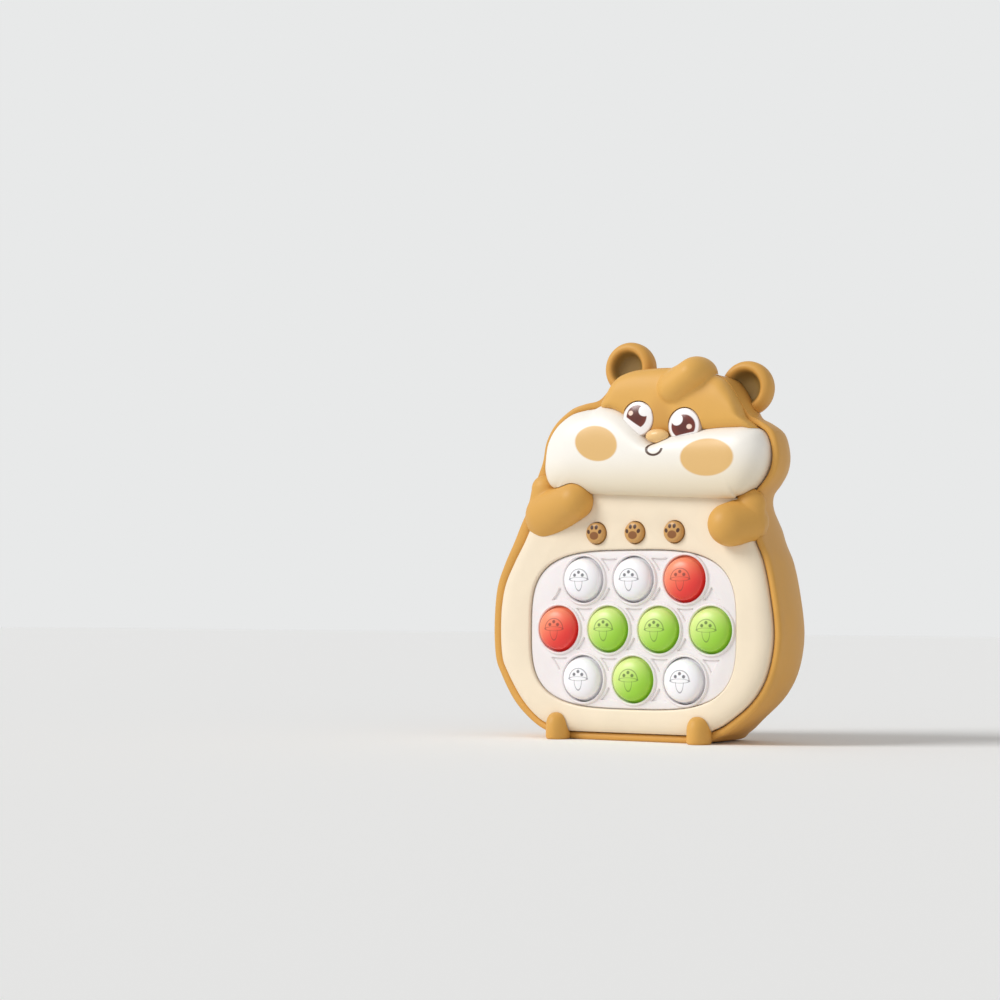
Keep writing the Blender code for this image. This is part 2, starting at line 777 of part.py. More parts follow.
def make_rear_shell(outline):
    outer = case_rings(outline, rim_lip, 0, 0)
    inner = case_rings(outline, rim_width, rim_width, case_wall)
    mid_wall = case_rings(outline, rim_width, case_wall / 2, case_wall / 2)
    shell = add_object("rear_shell", skin(outer[::-1] + inner))

    # Battery bay, door seat and screw boss
    bay_side = bay_half_width + bay_wall
    add(shell, block((-bay_side, bay_floor_y - bay_wall, bay_low_z - bay_wall),
                     (bay_side, back_y - weld_bite, bay_high_z + bay_wall)))
    boss_side = door_tongue_half_width + bay_wall
    add(shell, block((-boss_side, back_y - door_boss_depth, bay_high_z + weld_bite),
                     (boss_side, back_y - weld_bite, door_tongue_z + bay_wall)))
    cut(shell, block((-bay_half_width, bay_floor_y, bay_low_z),
                     (bay_half_width, back_y + cut_overrun, bay_high_z)))
    seat_side = door_half_width + fit_gap
    cut(shell, block((-seat_side, bay_back_y, door_low_z),
                     (seat_side, back_y + cut_overrun, door_high_z)))
    tongue_side = door_tongue_half_width + fit_gap
    cut(shell, block((-tongue_side, bay_back_y, bay_high_z),
                     (tongue_side, back_y + cut_overrun, door_tongue_z)))
    cut(shell, cylinder(0, door_screw_z, screw_shaft_radius + bore_play,
                        back_y - door_boss_depth - cut_overrun, back_y))
    for side in (-1, 1):
        middle = side * tab_spread
        half = tab_width / 2 + fit_gap
        slot_y = back_y - case_wall - tab_slot_depth
        cut(shell, block((middle - half, slot_y, door_low_z - tab_reach - fit_gap),
                         (middle + half, back_y - case_wall, bay_low_z + weld_bite)))
        cut(shell, block((middle - half, slot_y, door_low_z), (middle + half, back_y, bay_low_z + weld_bite)))

    # Ribs that hold the circuit board against the light grid
    supports = []
    for x in (-support_x, support_x):
        for z in (bay_centre_z - support_spread_z, bay_centre_z + support_spread_z):
            supports.append(cylinder(x, z, support_radius, board_back_y + fit_gap,
                                     bay_floor_y - bay_wall + weld_bite, segments=10))
    add(shell, join("supports", supports))

    # Screw bosses with a deep seat for the screw head
    for x, z in post_spots():
        boss = cylinder(x, z, case_boss_radius, parting_y + fit_gap, back_y + cut_overrun)
        add(shell, keep_inside(boss, add_object("core", skin(mid_wall))))
        cut(shell, cylinder(x, z, screw_head_radius + fit_gap, parting_y + fit_gap + case_boss_floor,
                            back_y + cut_overrun))
        cut(shell, cylinder(x, z, screw_shaft_radius + fit_gap, parting_y - cut_overrun,
                            parting_y + case_boss_floor + cut_overrun))

    # Speaker seat and grille
    seat = speaker_radius + fit_gap
    wall_y = back_y - case_wall
    ring = [(seat, wall_y + weld_bite), (seat, wall_y - speaker_ring_height),
            (seat + speaker_ring_wall, wall_y - speaker_ring_height), (seat + speaker_ring_wall, wall_y + weld_bite)]
    add(shell, add_object("seat", turned(ring, speaker_segments, speaker_x, speaker_z, hollow=True)))
    slots = []
    for index in range(grille_slots):
        x = grille_pitch * (index - (grille_slots - 1) / 2)
        reach = math.sqrt(grille_radius ** 2 - x ** 2)
        slots.append(block((speaker_x + x - grille_width / 2, wall_y - cut_overrun / 2, speaker_z - reach),
                           (speaker_x + x + grille_width / 2, back_y + cut_overrun, speaker_z + reach)))
    cut(shell, join("slots", slots))
    return finish(shell, "rear_shell", "tan")


def make_front_shell(outline):
    points = belly_outline(outline)
    shell = add_object("front_shell", skin(belly_rings(points, 0)))
    inner = offset(points, -plate_wall)
    cut(shell, prism(inner, belly_y + plate_wall, plate_back_y + cut_overrun))

    # Posts for the case screws
    for x, z in post_spots():
        add(shell, cylinder(x, z, case_post_radius, belly_y + plate_wall - weld_bite, parting_y))
        cut(shell, cylinder(x, z, screw_shaft_radius + fit_gap, belly_y + plate_wall + cut_overrun,
                            parting_y + cut_overrun))

    window = superellipse(window_half_width, window_half_height)
    cut(shell, prism(window, belly_y - cut_overrun, plate_back_y))
    for x, z in key_spots():
        cut(shell, cylinder(x, z, key_radius + fit_gap, belly_y - cut_overrun, plate_back_y, key_segments))
    return finish(shell, "front_shell", "cream")


def swollen_rings(points, sides, crest_y, left, right):
    # Rings that rise from each point's own depth towards a common crest.
    rings = [[Vector((x, y, z)) for (x, z), y in zip(points, sides)]]
    for share, rise_share in swell_shares:
        moved = towards(points, share, left, right)
        rings.append([Vector((x, y + (crest_y - y) * rise_share, z)) for (x, z), y in zip(moved, sides)])
    return rings


def cheek_sides(points, shift):
    # Depth where the cheeks start to swell: over the belly plate at the chin, and the rim's level above it.
    sides = []
    for x, z in points:
        share = min(max((z - chin_line(x)) / cheek_side_rise, 0), 1)
        share = share * share * (3 - 2 * share)
        sides.append(cheek_side_y + (rim_y - fit_gap - cheek_side_y) * share + shift)
    return sides


def cheek_rings(points, growth):
    # The cheeks' outer surface, which hangs over the belly plate at the chin.
    left, right = (on_case(point) for point in cheek_spine_shares)
    hanging = []
    for x, z in points:
        near_chin = z < chin_line(x) + 2 * fit_gap
        hanging.append((x, z - cheek_overhang if near_chin else z))
    rings = [ring_at(offset(points, growth), plate_back_y)]
    lips = cheek_sides(points, cheek_side)
    rings.append([Vector((x, y, z)) for (x, z), y in zip(offset(points, growth), lips)])
    sides = cheek_sides(points, -growth)
    rings += swollen_rings(offset(hanging, growth), sides, rim_y - cheek_reach - growth, left, right)
    return rings


def make_cheek_shell(points):
    shell = add_object("cheek_shell", skin(cheek_rings(points, 0)))
    left, right = (on_case(point) for point in cheek_spine_shares)
    inner = offset(points, -cheek_wall)
    hollow = [ring_at(inner, plate_back_y + cut_overrun)]
    hollow += swollen_rings(inner, cheek_sides(points, cheek_wall), rim_y - cheek_reach + cheek_wall, left, right)
    cut(shell, add_object("hollow", skin(hollow)))
    return shell


def forehead_rings(forehead, crown, growth):
    # The forehead sits inside the rim, and its crown lies over the rim.
    left, right = (on_case(point) for point in head_spine_shares)
    front_y = rim_y - fit_gap - growth
    rings = [ring_at(offset(forehead, growth), plate_back_y), ring_at(offset(forehead, growth), front_y)]
    sides = [front_y - weld_bite] * len(crown)
    rings += swollen_rings(offset(crown, growth), sides, rim_y - head_proud - growth, left, right)
    rings.insert(2, ring_at(offset(crown, growth), front_y))
    return rings


def make_head_shell(forehead, crown, outline):
    shell = add_object("head_shell", skin(forehead_rings(forehead, crown, 0)))
    root, tip = (Vector((x, rim_y, z)) for x, z in map(on_case, tuft_spot_shares))
    tuft = limb(root, tip, (tuft_root_radius, tuft_tip_radius), tuft_half_depth)
    cut(tuft, grown_case(outline))
    add(shell, tuft)
    for x, z in map(on_case, eye_spot_shares.values()):
        cut(shell, cylinder(x, z, eye_radius + fit_gap, rim_y - cheek_reach, rim_y + cut_overrun, eye_segments))
    return finish(shell, "head_shell", "tan")


def make_eyes(cheeks):
    for name, spot in eye_spot_shares.items():
        x, z = on_case(spot)
        front_y = rim_y - eye_proud
        profile = [(0, front_y - eye_bulge), (eye_radius / 2, front_y - eye_bulge * 3 / 4),
                   (eye_radius, front_y), (eye_radius, front_y + eye_length)]
        eye = add_object(name, turned(profile, eye_segments, x, z))
        cut(eye, prism(offset(cheeks, fit_gap), rim_y - cheek_reach - cut_overrun, plate_back_y))
        finish(eye, name, "eye")


def make_nose(cheeks, forehead, crown):
    x, z = on_case(nose_spot_share)
    nose = ellipsoid((x, rim_y - nose_proud, z), (nose_half_width, nose_half_depth, nose_half_height))
    cut(nose, add_object("grown_cheeks", skin(cheek_rings(cheeks, fit_gap))))
    cut(nose, add_object("grown_forehead", skin(forehead_rings(forehead, crown, fit_gap))))
    finish(nose, "nose", "nose")


def make_ears(outline):
    for name, spot in ear_spot_shares.items():
        x, z = on_case(spot)
        profile = [(radius * ear_radius, rim_y + ear_front_back + depth * ear_depth)
                   for radius, depth in ear_profile_shares]
        ear = add_object(name, turned(profile, ear_segments, x, z))
        cut(ear, grown_case(outline))
        finish(ear, name, "tan")


def make_arms(outline, belly, cheek_shell):
    # Each arm lies on the belly plate, the rim and the corner of the cheeks, and its root wraps over the rim.
    all_radii = [(left_arm_root_radius, left_arm_hand_radius), (right_arm_root_radius, right_arm_hand_radius)]
    for (name, spots), radii in zip(arm_spot_shares.items(), all_radii):
        root, hand = (on_case(spot) for spot in spots)
        start = Vector((root[0], rim_y + arm_root_back, root[1]))
        end = Vector((hand[0], rim_y - front_reach + arm_half_depth, hand[1]))
        cut(cheek_shell, limb(start, end, radii, arm_half_depth, growth=fit_gap))
        arm = limb(start, end, radii, arm_half_depth)
        cut(arm, grown_case(outline))
        cut(arm, add_object("grown_belly", skin(belly_rings(belly, fit_gap))))
        finish(arm, name, "tan")


def make_feet(outline, belly):
    for name, side in (("left_foot", -1), ("right_foot", 1)):
        across = (foot_centre_share + side * foot_spread_share) * case_half_width
        middle = Vector((across, rim_y - foot_forward, 0))
        rings = []
        for across_share, up_share in foot_profile_shares:
            ring = []
            for i in range(limb_segments):
                turn = 2 * math.pi * i / limb_segments
                reach = Vector((foot_half_width * math.cos(turn), foot_half_depth * math.sin(turn), 0))
                ring.append(middle + reach * across_share + Vector((0, 0, foot_height * up_share)))
            rings.append(ring)
        rings.append([middle + Vector((0, 0, foot_height))])
        foot = add_object(name, skin(rings))
        cut(foot, grown_case(outline))
        cut(foot, add_object("grown_belly", skin(belly_rings(belly, fit_gap))))
        finish(foot, name, "tan")


# Mat, bubbles and keys

def make_bubble_mat():
    front = superellipse(window_edge, window_half_height - fit_gap)
    flange = offset(front, mat_flange)
    rings = [ring_at(front, mat_y), ring_at(front, mat_flange_y),
             ring_at(flange, mat_flange_y), ring_at(flange, mat_back_y)]
    mat = add_object("bubble_mat", skin(rings))
    hole = bubble_radius + fit_gap
    ring_width = mat_ring_outer - hole
    crest = hole + ring_width * mat_ring_wall_share
    profile = [(hole - weld_bite, mat_y + weld_bite), (hole - weld_bite, mat_y - mat_ring_height / 2),
               (crest, mat_y - mat_ring_height), (mat_ring_outer - ring_width / 5, mat_y - mat_ring_height / 2),
               (mat_ring_outer, mat_y + weld_bite)]
    ridges = []
    holes = []
    for x, z in bubble_spots():
        ridges.append(add_object("ridge", turned(profile, mat_ring_segments, x, z, hollow=True)))
        holes.append(cylinder(x, z, hole, mat_y - bubble_height, mat_back_y + cut_overrun, mat_ring_segments))
    add(mat, join("ridges", ridges))
    cut(mat, join("holes", holes))
    return finish(mat, "bubble_mat", "mat")


def bubble_profile():
    crown_y = mat_y - bubble_height
    edge_y = mat_y - bubble_edge
    rise = bubble_height - bubble_edge
    dome_shares = ((0.42, 0.07), (0.74, 0.28), (0.94, 0.62))
    profile = [(0, crown_y)]
    profile += [(bubble_radius * across, crown_y + rise * down) for across, down in dome_shares]
    profile += [(bubble_radius, edge_y), (bubble_radius, bubble_flange_y),
                (bubble_radius + bubble_flange, bubble_flange_y), (bubble_radius + bubble_flange, bubble_back_y)]
    inner_radius = bubble_radius - bubble_wall
    profile += [(inner_radius, bubble_back_y), (inner_radius, edge_y + bubble_wall / 2),
                (bubble_post_radius, crown_y + 2 * bubble_wall), (bubble_post_radius, bubble_tip_y),
                (0, bubble_tip_y)]
    return profile


def make_bubbles():
    for index, (x, z) in enumerate(bubble_spots()):
        bubble = add_object("bubble", turned(bubble_profile(), bubble_segments))
        bubble.location = (x, 0, z)
        finish(bubble, f"bubble_{index + 1:02d}", bubble_lights[index])


def make_keys():
    flange_y = belly_y + plate_wall + fit_gap
    tip_y = switch_tip_y - fit_gap - key_travel
    crown_y = belly_y - key_proud
    profile = [(0, crown_y), (key_radius * 3 / 4, crown_y + key_proud / 8), (key_radius, crown_y + key_proud / 2),
               (key_radius, flange_y), (key_radius + key_flange, flange_y),
               (key_radius + key_flange, flange_y + key_flange_thickness),
               (key_stem_radius, flange_y + key_flange_thickness), (key_stem_radius, tip_y), (0, tip_y)]
    for name, (x, z) in zip(key_names, key_spots()):
        key = add_object("key", turned(profile, key_segments))
        key.location = (x, 0, z)
        finish(key, f"{name}_key", "tan")


# Electronics

def board_outline():
    return superellipse(window_edge + mat_flange, window_half_height + mat_flange - fit_gap)


def make_light_grid():
    grid = prism(board_outline(), grid_front_y, grid_back_y)
    wells = []
    for x, z in bubble_spots():
        wells.append(cylinder(x, z, bubble_radius + bubble_flange + fit_gap, grid_front_y - cut_overrun,
                              grid_back_y + cut_overrun, mat_ring_segments))
    cut(grid, join("wells", wells))
    return finish(grid, "light_grid", "grid")


def make_main_board():
    board = prism(board_outline(), board_y, board_back_y)
    add(board, block((key_x - board_tab_half_width, board_y, window_z),
                     (key_x + board_tab_half_width, board_back_y, board_tab_top)))
    lamps = []
    for x, z in bubble_spots():
        lamps.append(block((x + lamp_offset - lamp_size / 2, board_y - lamp_height, z - lamp_size / 2),
                           (x + lamp_offset + lamp_size / 2, board_y + weld_bite, z + lamp_size / 2)))
    add(board, join("lamps", lamps))
    return finish(board, "main_board", "board")


def make_switches():
    names = [f"bubble_switch_{index + 1:02d}" for index in range(len(bubble_spots()))]
    names += [f"{name}_switch" for name in key_names]
    half = switch_size / 2
    body_y = switch_base_y - switch_body_height
    for name, (x, z) in zip(names, bubble_spots() + key_spots()):
        switch = block((x - half, body_y, z - half), (x + half, switch_base_y, z + half))
        add(switch, cylinder(x, z, switch_button_radius, switch_tip_y, body_y + weld_bite, 10))
        finish(switch, name, "switch")


def make_speaker():
    seat_y = back_y - case_wall - fit_gap
    rim_front_y = seat_y - speaker_rim_thickness
    back_end_y = seat_y - speaker_depth
    magnet_y = back_end_y + speaker_magnet_height
    dish_radius = speaker_radius - speaker_rim
    dish_y = rim_front_y - speaker_magnet_height / 2
    frame = [(0, back_end_y), (speaker_magnet_radius, back_end_y), (speaker_magnet_radius, magnet_y),
             (speaker_radius - speaker_rim / 2, rim_front_y), (speaker_radius, rim_front_y),
             (speaker_radius, seat_y), (dish_radius, seat_y), (dish_radius, rim_front_y),
             (speaker_magnet_radius / 2, dish_y), (0, dish_y)]
    finish(add_object("frame", turned(frame, speaker_segments, speaker_x, speaker_z)), "speaker_frame", "steel")
    edge = dish_radius - fit_gap
    front = rim_front_y + fit_gap
    floor_y = dish_y + fit_gap
    cone = [(0, floor_y), (speaker_magnet_radius / 2, floor_y), (edge, front + fit_gap),
            (edge, front + fit_gap + speaker_cone_thickness),
            (speaker_magnet_radius / 2, floor_y + 2 * speaker_cone_thickness), (0, floor_y + 2 * speaker_cone_thickness)]
    finish(add_object("cone", turned(cone, speaker_segments, speaker_x, speaker_z)), "speaker_cone", "paper")


# Battery compartment

def cell_rows():
    pitch = 2 * cell_radius + cell_gap
    return [bay_centre_z + pitch * (index - (cell_count - 1) / 2) for index in range(cell_count)]


def make_cells():
    middle_y = bay_floor_y + fit_gap + cell_radius
    for index, z in enumerate(cell_rows()):
        towards_plus = 1 if index % 2 == 0 else -1
        body_end = cell_length / 2 - cell_nub_length
        profile = [(0, -cell_length / 2), (cell_radius, -cell_length / 2), (cell_radius, body_end),
                   (cell_nub_radius, body_end), (cell_nub_radius, cell_length / 2), (0, cell_length / 2)]
        shape = turned(profile, cell_segments)
        turn = Matrix.Rotation(-towards_plus * math.pi / 2, 4, "Z")
        shift = towards_plus * spring_length / 2
        place = Matrix.Translation((shift, middle_y, z)) @ turn
        bmesh.ops.transform(shape, matrix=place, verts=shape.verts)
        finish(add_object("cell", shape), f"battery_{index + 1}", "cell")


def make_contact(name, side, rows):
    # One plate at an end of the bay, with a spring for each cell that turns its flat end to it.
    cells = cell_rows()
    low = min(cells[row] for row in rows) - cell_radius + contact_margin
    high = max(cells[row] for row in rows) + cell_radius - contact_margin
    outer = side * (bay_half_width - fit_gap)
    inner = outer - side * contact_thickness
    front = bay_floor_y + contact_margin
    end = bay_floor_y + 2 * cell_radius - contact_margin
    plate = block((min(outer, inner), front, low), (max(outer, inner), end, high))
    middle_y = bay_floor_y + fit_gap + cell_radius
    for row in rows:
        towards_plus = 1 if row % 2 == 0 else -1
        if towards_plus == side:
            continue
        reach = spring_length + contact_thickness / 2
        shape = turned([(spring_base_radius, 0), (spring_tip_radius, reach)], screw_segments)
        place = Matrix.Translation((inner + side * contact_thickness / 2, middle_y, cells[row]))
        place = place @ Matrix.Rotation(side * math.pi / 2, 4, "Z")
        bmesh.ops.transform(shape, matrix=place, verts=shape.verts)
        add(plate, add_object("spring", shape))
    return finish(plate, name, "steel")


def make_battery_door():
    inside_y = bay_back_y + fit_gap
    door = block((-door_half_width, inside_y, door_low_z + fit_gap), (door_half_width, back_y, door_high_z - fit_gap))
    add(door, block((-door_tongue_half_width, inside_y, door_high_z - weld_bite - fit_gap),
                    (door_tongue_half_width, back_y, door_tongue_z - fit_gap)))
    for side in (-1, 1):
        middle = side * tab_spread
        tab_y = back_y - case_wall - door_swing_gap
        add(door, block((middle - tab_width / 2, tab_y - tab_thickness, door_low_z - tab_reach),
                        (middle + tab_width / 2, tab_y, bay_low_z + weld_bite)))
        add(door, block((middle - tab_width / 2, tab_y - weld_bite, door_low_z + fit_gap),
                        (middle + tab_width / 2, inside_y + weld_bite, bay_low_z + weld_bite)))
    cut(door, cylinder(0, door_screw_z, screw_shaft_radius + fit_gap, inside_y - cut_overrun, back_y + cut_overrun))
    cut(door, cylinder(0, door_screw_z, screw_head_radius + fit_gap, back_y - screw_head_height,
                       back_y + cut_overrun))
    return finish(door, "battery_door", "tan")


def make_screw(name, x, z, head_y, length):
    # The head's top faces the back of the toy.
    profile = [(0, head_y), (screw_head_radius, head_y), (screw_head_radius, head_y - screw_head_height * 2 / 3),
               (screw_shaft_radius, head_y - screw_head_height), (screw_shaft_radius, head_y - length), (0, head_y - length)]
    finish(add_object("screw", turned(profile, screw_segments, x, z)), name, "steel")


def make_screws():
    make_screw("door_screw", 0, door_screw_z, back_y, door_screw_length)
    head_y = parting_y + 2 * fit_gap + case_boss_floor + screw_head_height
    for index, (x, z) in enumerate(post_spots()):
        make_screw(f"case_screw_{index + 1}", x, z, head_y, case_screw_length)


def make_lead(name, points):
    # A thin insulated lead along a quarter of an ellipse-like bend through three points.
    start, bend, end = (Vector(point) for point in points)
    curve = bpy.data.curves.new(name, "CURVE")
    curve.dimensions = "3D"
    curve.bevel_depth = lead_radius
    curve.bevel_resolution = 2
    curve.use_fill_caps = True
    spline = curve.splines.new("POLY")
    spline.points.add(lead_steps)
    for step in range(lead_steps + 1):
        t = step / lead_steps
        point = start * (1 - t) ** 2 + bend * 2 * t * (1 - t) + end * t ** 2
        spline.points[step].co = (*point, 1.0)
    lead = bpy.data.objects.new(name, curve)
    bpy.context.scene.collection.objects.link(lead)
    curve.materials.append(material("lead"))
    return lead


def make_leads():
    board_end_y = board_back_y + fit_gap
    bay_side_x = -(bay_half_width + bay_wall + fit_gap)
    bay_y = (bay_floor_y + back_y) / 2
    make_lead("battery_leads", [(lead_board_x, board_end_y, lead_board_z), (lead_board_x, bay_y, lead_board_z),
                                (bay_side_x, bay_y, lead_board_z)])
    magnet_y = back_y - case_wall - speaker_depth + speaker_magnet_height / 2
    speaker_low_z = speaker_z - speaker_magnet_radius - fit_gap
    make_lead("speaker_leads", [(speaker_x, board_end_y, speaker_lead_z), (speaker_x, magnet_y, speaker_lead_z),
                                (speaker_x, magnet_y, speaker_low_z)])


def main():
    clear_scene()
    outline = case_outline()
    belly = belly_outline(outline)
    cheeks, forehead, crown = split_head(outline)
    make_rear_shell(outline)
    make_front_shell(outline)
    cheek_shell = make_cheek_shell(cheeks)
    make_head_shell(forehead, crown, outline)
    make_eyes(cheeks)
    make_nose(cheeks, forehead, crown)
    make_ears(outline)
    make_arms(outline, belly, cheek_shell)
    finish(cheek_shell, "cheek_shell", "white")
    make_feet(outline, belly)
    make_bubble_mat()
    make_bubbles()
    make_keys()
    make_light_grid()
    make_main_board()
    make_switches()
    make_speaker()
    make_cells()
    make_contact("contact_bridge_left", -1, (0, 1))
    make_contact("contact_single_left", -1, (2,))
    make_contact("contact_single_right", 1, (0,))
    make_contact("contact_bridge_right", 1, (1, 2))
    make_battery_door()
    make_screws()
    make_leads()


main()
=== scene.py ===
import math

import bmesh
import bpy
from mathutils import Matrix, Vector


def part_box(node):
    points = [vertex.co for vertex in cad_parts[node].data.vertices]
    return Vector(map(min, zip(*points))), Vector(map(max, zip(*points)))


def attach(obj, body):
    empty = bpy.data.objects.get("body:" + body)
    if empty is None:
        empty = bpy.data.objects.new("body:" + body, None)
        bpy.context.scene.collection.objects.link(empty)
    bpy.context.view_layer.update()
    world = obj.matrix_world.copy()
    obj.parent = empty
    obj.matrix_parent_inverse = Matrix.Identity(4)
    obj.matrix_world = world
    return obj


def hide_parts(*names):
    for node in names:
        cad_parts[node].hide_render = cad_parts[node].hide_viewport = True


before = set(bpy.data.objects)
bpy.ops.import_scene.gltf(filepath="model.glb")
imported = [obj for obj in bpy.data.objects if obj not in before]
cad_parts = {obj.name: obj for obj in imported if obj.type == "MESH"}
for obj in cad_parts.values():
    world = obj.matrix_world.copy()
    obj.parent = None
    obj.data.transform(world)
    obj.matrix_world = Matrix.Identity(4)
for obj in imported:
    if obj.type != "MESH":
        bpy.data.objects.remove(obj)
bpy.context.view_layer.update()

# All sizes below are in millimetres, in the frame's own axes, and become metres where a mesh is made.
mm = 0.001


def boxOf(node):
    low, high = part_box(node)
    return low / mm, high / mm


tubLow, tubHigh = boxOf("rear_shell")
rimY, backY = tubLow.y, tubHigh.y
bellyY = boxOf("front_shell")[0].y
fitGap = 0.3          # between pieces that meet
touchGap = 0.08       # between a softened piece and what it rests on
overrun = 2.0         # how far a cutter passes the face that it cuts
plateDepth = 5.0      # how far the front plates reach into the tub
matSink = 1.5         # how far the mat lies behind the belly's face
plateBackY = rimY + plateDepth
matY = bellyY + matSink


def curveThrough(points, steps, closed):
    count = len(points)
    curve = []
    for span in range(count if closed else count - 1):
        near = [points[(span + k) % count] if closed else points[min(max(span + k, 0), count - 1)]
                for k in (-1, 0, 1, 2)]
        for step in range(steps):
            t = step / steps
            weights = (-0.5 * t + t * t - 0.5 * t ** 3, 1.0 - 2.5 * t * t + 1.5 * t ** 3,
                       0.5 * t + 2.0 * t * t - 1.5 * t ** 3, -0.5 * t * t + 0.5 * t ** 3)
            curve.append(tuple(sum(w * p[axis] for w, p in zip(weights, near)) for axis in (0, 1)))
    return curve if closed else curve + [tuple(points[-1])]


def evenPoints(curve, count):
    # The same closed curve with evenly spaced points.
    ring = curve + curve[:1]
    lengths = [0.0]
    for here, there in zip(ring, ring[1:]):
        lengths.append(lengths[-1] + math.dist(here, there))
    points = []
    span = 0
    for index in range(count):
        target = lengths[-1] * index / count
        while lengths[span + 1] < target:
            span += 1
        share = (target - lengths[span]) / (lengths[span + 1] - lengths[span])
        points.append(tuple(a + (b - a) * share for a, b in zip(ring[span], ring[span + 1])))
    return points


def grown(points, distance):
    # The outline moved outwards, or inwards where the distance is negative.
    moved = []
    for index, point in enumerate(points):
        here = Vector(point)
        first = (here - Vector(points[index - 1])).normalized()
        second = (Vector(points[(index + 1) % len(points)]) - here).normalized()
        normal = Vector((first.y, -first.x)) + Vector((second.y, -second.x))
        shift = normal * (distance / max(1 + first.dot(second), 0.5))
        moved.append((here.x + shift.x, here.y + shift.y))
    return moved


def clipped(points, reach):
    # Keeps the part of an outline where reach(point) is positive.
    kept = []
    for here, there in zip(points, points[1:] + points[:1]):
        a, b = reach(here), reach(there)
        if a >= 0:
            kept.append(here)
        if (a >= 0) != (b >= 0):
            share = a / (a - b)
            kept.append(tuple(p + (q - p) * share for p, q in zip(here, there)))
    return kept


def isInside(point, outline):
    x, z = point
    crossings = 0
    for (x0, z0), (x1, z1) in zip(outline, outline[1:] + outline[:1]):
        if (z0 > z) != (z1 > z) and x < x0 + (x1 - x0) * (z - z0) / (z1 - z0):
            crossings += 1
    return crossings % 2 == 1


def smoothShare(value, low, high):
    share = min(max((value - low) / (high - low), 0), 1)
    return share * share * (3 - 2 * share)


def roundShare(turn):
    return 1 - math.sqrt(max(0, 1 - turn ** 2))     # how far a quarter round has drawn in


def ringAt(points, y):
    return [(x, y, z) for x, z in points]


def outward(shape):
    # Faces look outwards, also on a body with large flat ends.
    bmesh.ops.remove_doubles(shape, verts=shape.verts, dist=1e-7)
    bmesh.ops.recalc_face_normals(shape, faces=shape.faces)
    if shape.calc_volume(signed=True) < 0:
        bmesh.ops.reverse_faces(shape, faces=shape.faces)
    return shape


def loft(rings):
    # A closed body over rings of points. A ring of one point is a pole.
    shape = bmesh.new()
    order = shape.verts.layers.int.new("order")
    bmesh.ops.create_circle(shape, segments=max(map(len, rings)), radius=1.0)
    for index, vert in enumerate(shape.verts):
        vert[order] = index
    verts, edges = list(shape.verts), list(shape.edges)
    ends = [edges]
    for number, ring in enumerate(rings):
        if number:
            made = bmesh.ops.extrude_edge_only(shape, edges=edges)["geom"]
            verts = [item for item in made if isinstance(item, bmesh.types.BMVert)]
            fresh = set(verts)
            edges = [item for item in made
                     if isinstance(item, bmesh.types.BMEdge) and fresh.issuperset(item.verts)]
        for vert in verts:
            vert.co = Vector(ring[vert[order] % len(ring)]) * mm
    ends.append(edges)
    for ring, loop in zip((rings[0], rings[-1]), ends):
        if len(ring) > 1:
            bmesh.ops.edgeloop_fill(shape, edges=loop)
    return outward(shape)


def turned(profile, x, z, segments=64, alongX=False, y=0.0):
    # A body turned about a line along Y (or X). The profile holds radius and place along that line.
    shape = bmesh.new()
    if alongX:
        places = [(along, y + radius, z) for radius, along in profile]
        centre, axis = (0, y * mm, z * mm), (1, 0, 0)
    else:
        places = [(x + radius, along, z) for radius, along in profile]
        centre, axis = (x * mm, 0, z * mm), (0, 1, 0)
    points = [shape.verts.new(Vector(place) * mm) for place in places]
    edges = [shape.edges.new(pair) for pair in zip(points, points[1:])]
    bmesh.ops.spin(shape, geom=points + edges, cent=centre, axis=axis, angle=2 * math.pi, steps=segments,
                   use_merge=True)
    return outward(shape)


def rod(radius, near, far, x, z, segments=32):
    # A plain round bar along Y, for bosses and for round holes.
    return turned([(0, near), (radius, near), (radius, far), (0, far)], x, z, segments)


def roundedBlock(low, high, corner=0.0, edge=0.0):
    # A block with rounded upright corners as seen from the front, and then softened edges.
    shape = bmesh.new()
    bmesh.ops.create_cube(shape, size=1.0)
    for vert in shape.verts:
        vert.co = Vector([h if c > 0 else l for c, l, h in zip(vert.co, low, high)]) * mm
    if corner:
        upright = [e for e in shape.edges if abs((e.verts[0].co - e.verts[1].co).y) > 1e-9]
        bmesh.ops.bevel(shape, geom=upright, offset=corner * mm, segments=4, affect="EDGES", profile=0.5,
                        material=-1)
    if edge:
        sharp = [e for e in shape.edges if e.calc_face_angle(0) > math.radians(50)]
        bmesh.ops.bevel(shape, geom=sharp, offset=edge * mm, segments=2, affect="EDGES", profile=0.5,
                        material=-1)
    bmesh.ops.recalc_face_normals(shape, faces=shape.faces)
    return shape


def limb(start, end, radii, halfDepth, growth=0.0, segments=40, steps=10):
    # A rounded limb between two points, with a half ball at each end.
    start, end = Vector(start), Vector(end)
    along = (end - start).normalized()
    across = Vector((-along.z, 0, along.x)).normalized()
    depth = along.cross(across) * (halfDepth + growth)
    startRadius, endRadius = (radius + growth for radius in radii)
    angles = [math.pi / 2 * step / steps for step in range(steps)]
    stations = [(start - along * startRadius * math.sin(a), startRadius, math.cos(a)) for a in angles[::-1]]
    for share in (0.25, 0.5, 0.75):
        stations.append((start.lerp(end, share), startRadius + (endRadius - startRadius) * share, 1.0))
    stations += [(end + along * endRadius * math.sin(a), endRadius, math.cos(a)) for a in angles]
    rings = [[start - along * startRadius]]
    for centre, radius, share in stations:
        turns = [2 * math.pi * i / segments for i in range(segments)]
        rings.append([centre + (across * radius * math.cos(t) + depth * math.sin(t)) * share for t in turns])
    rings.append([end + along * endRadius])
    return loft(rings)


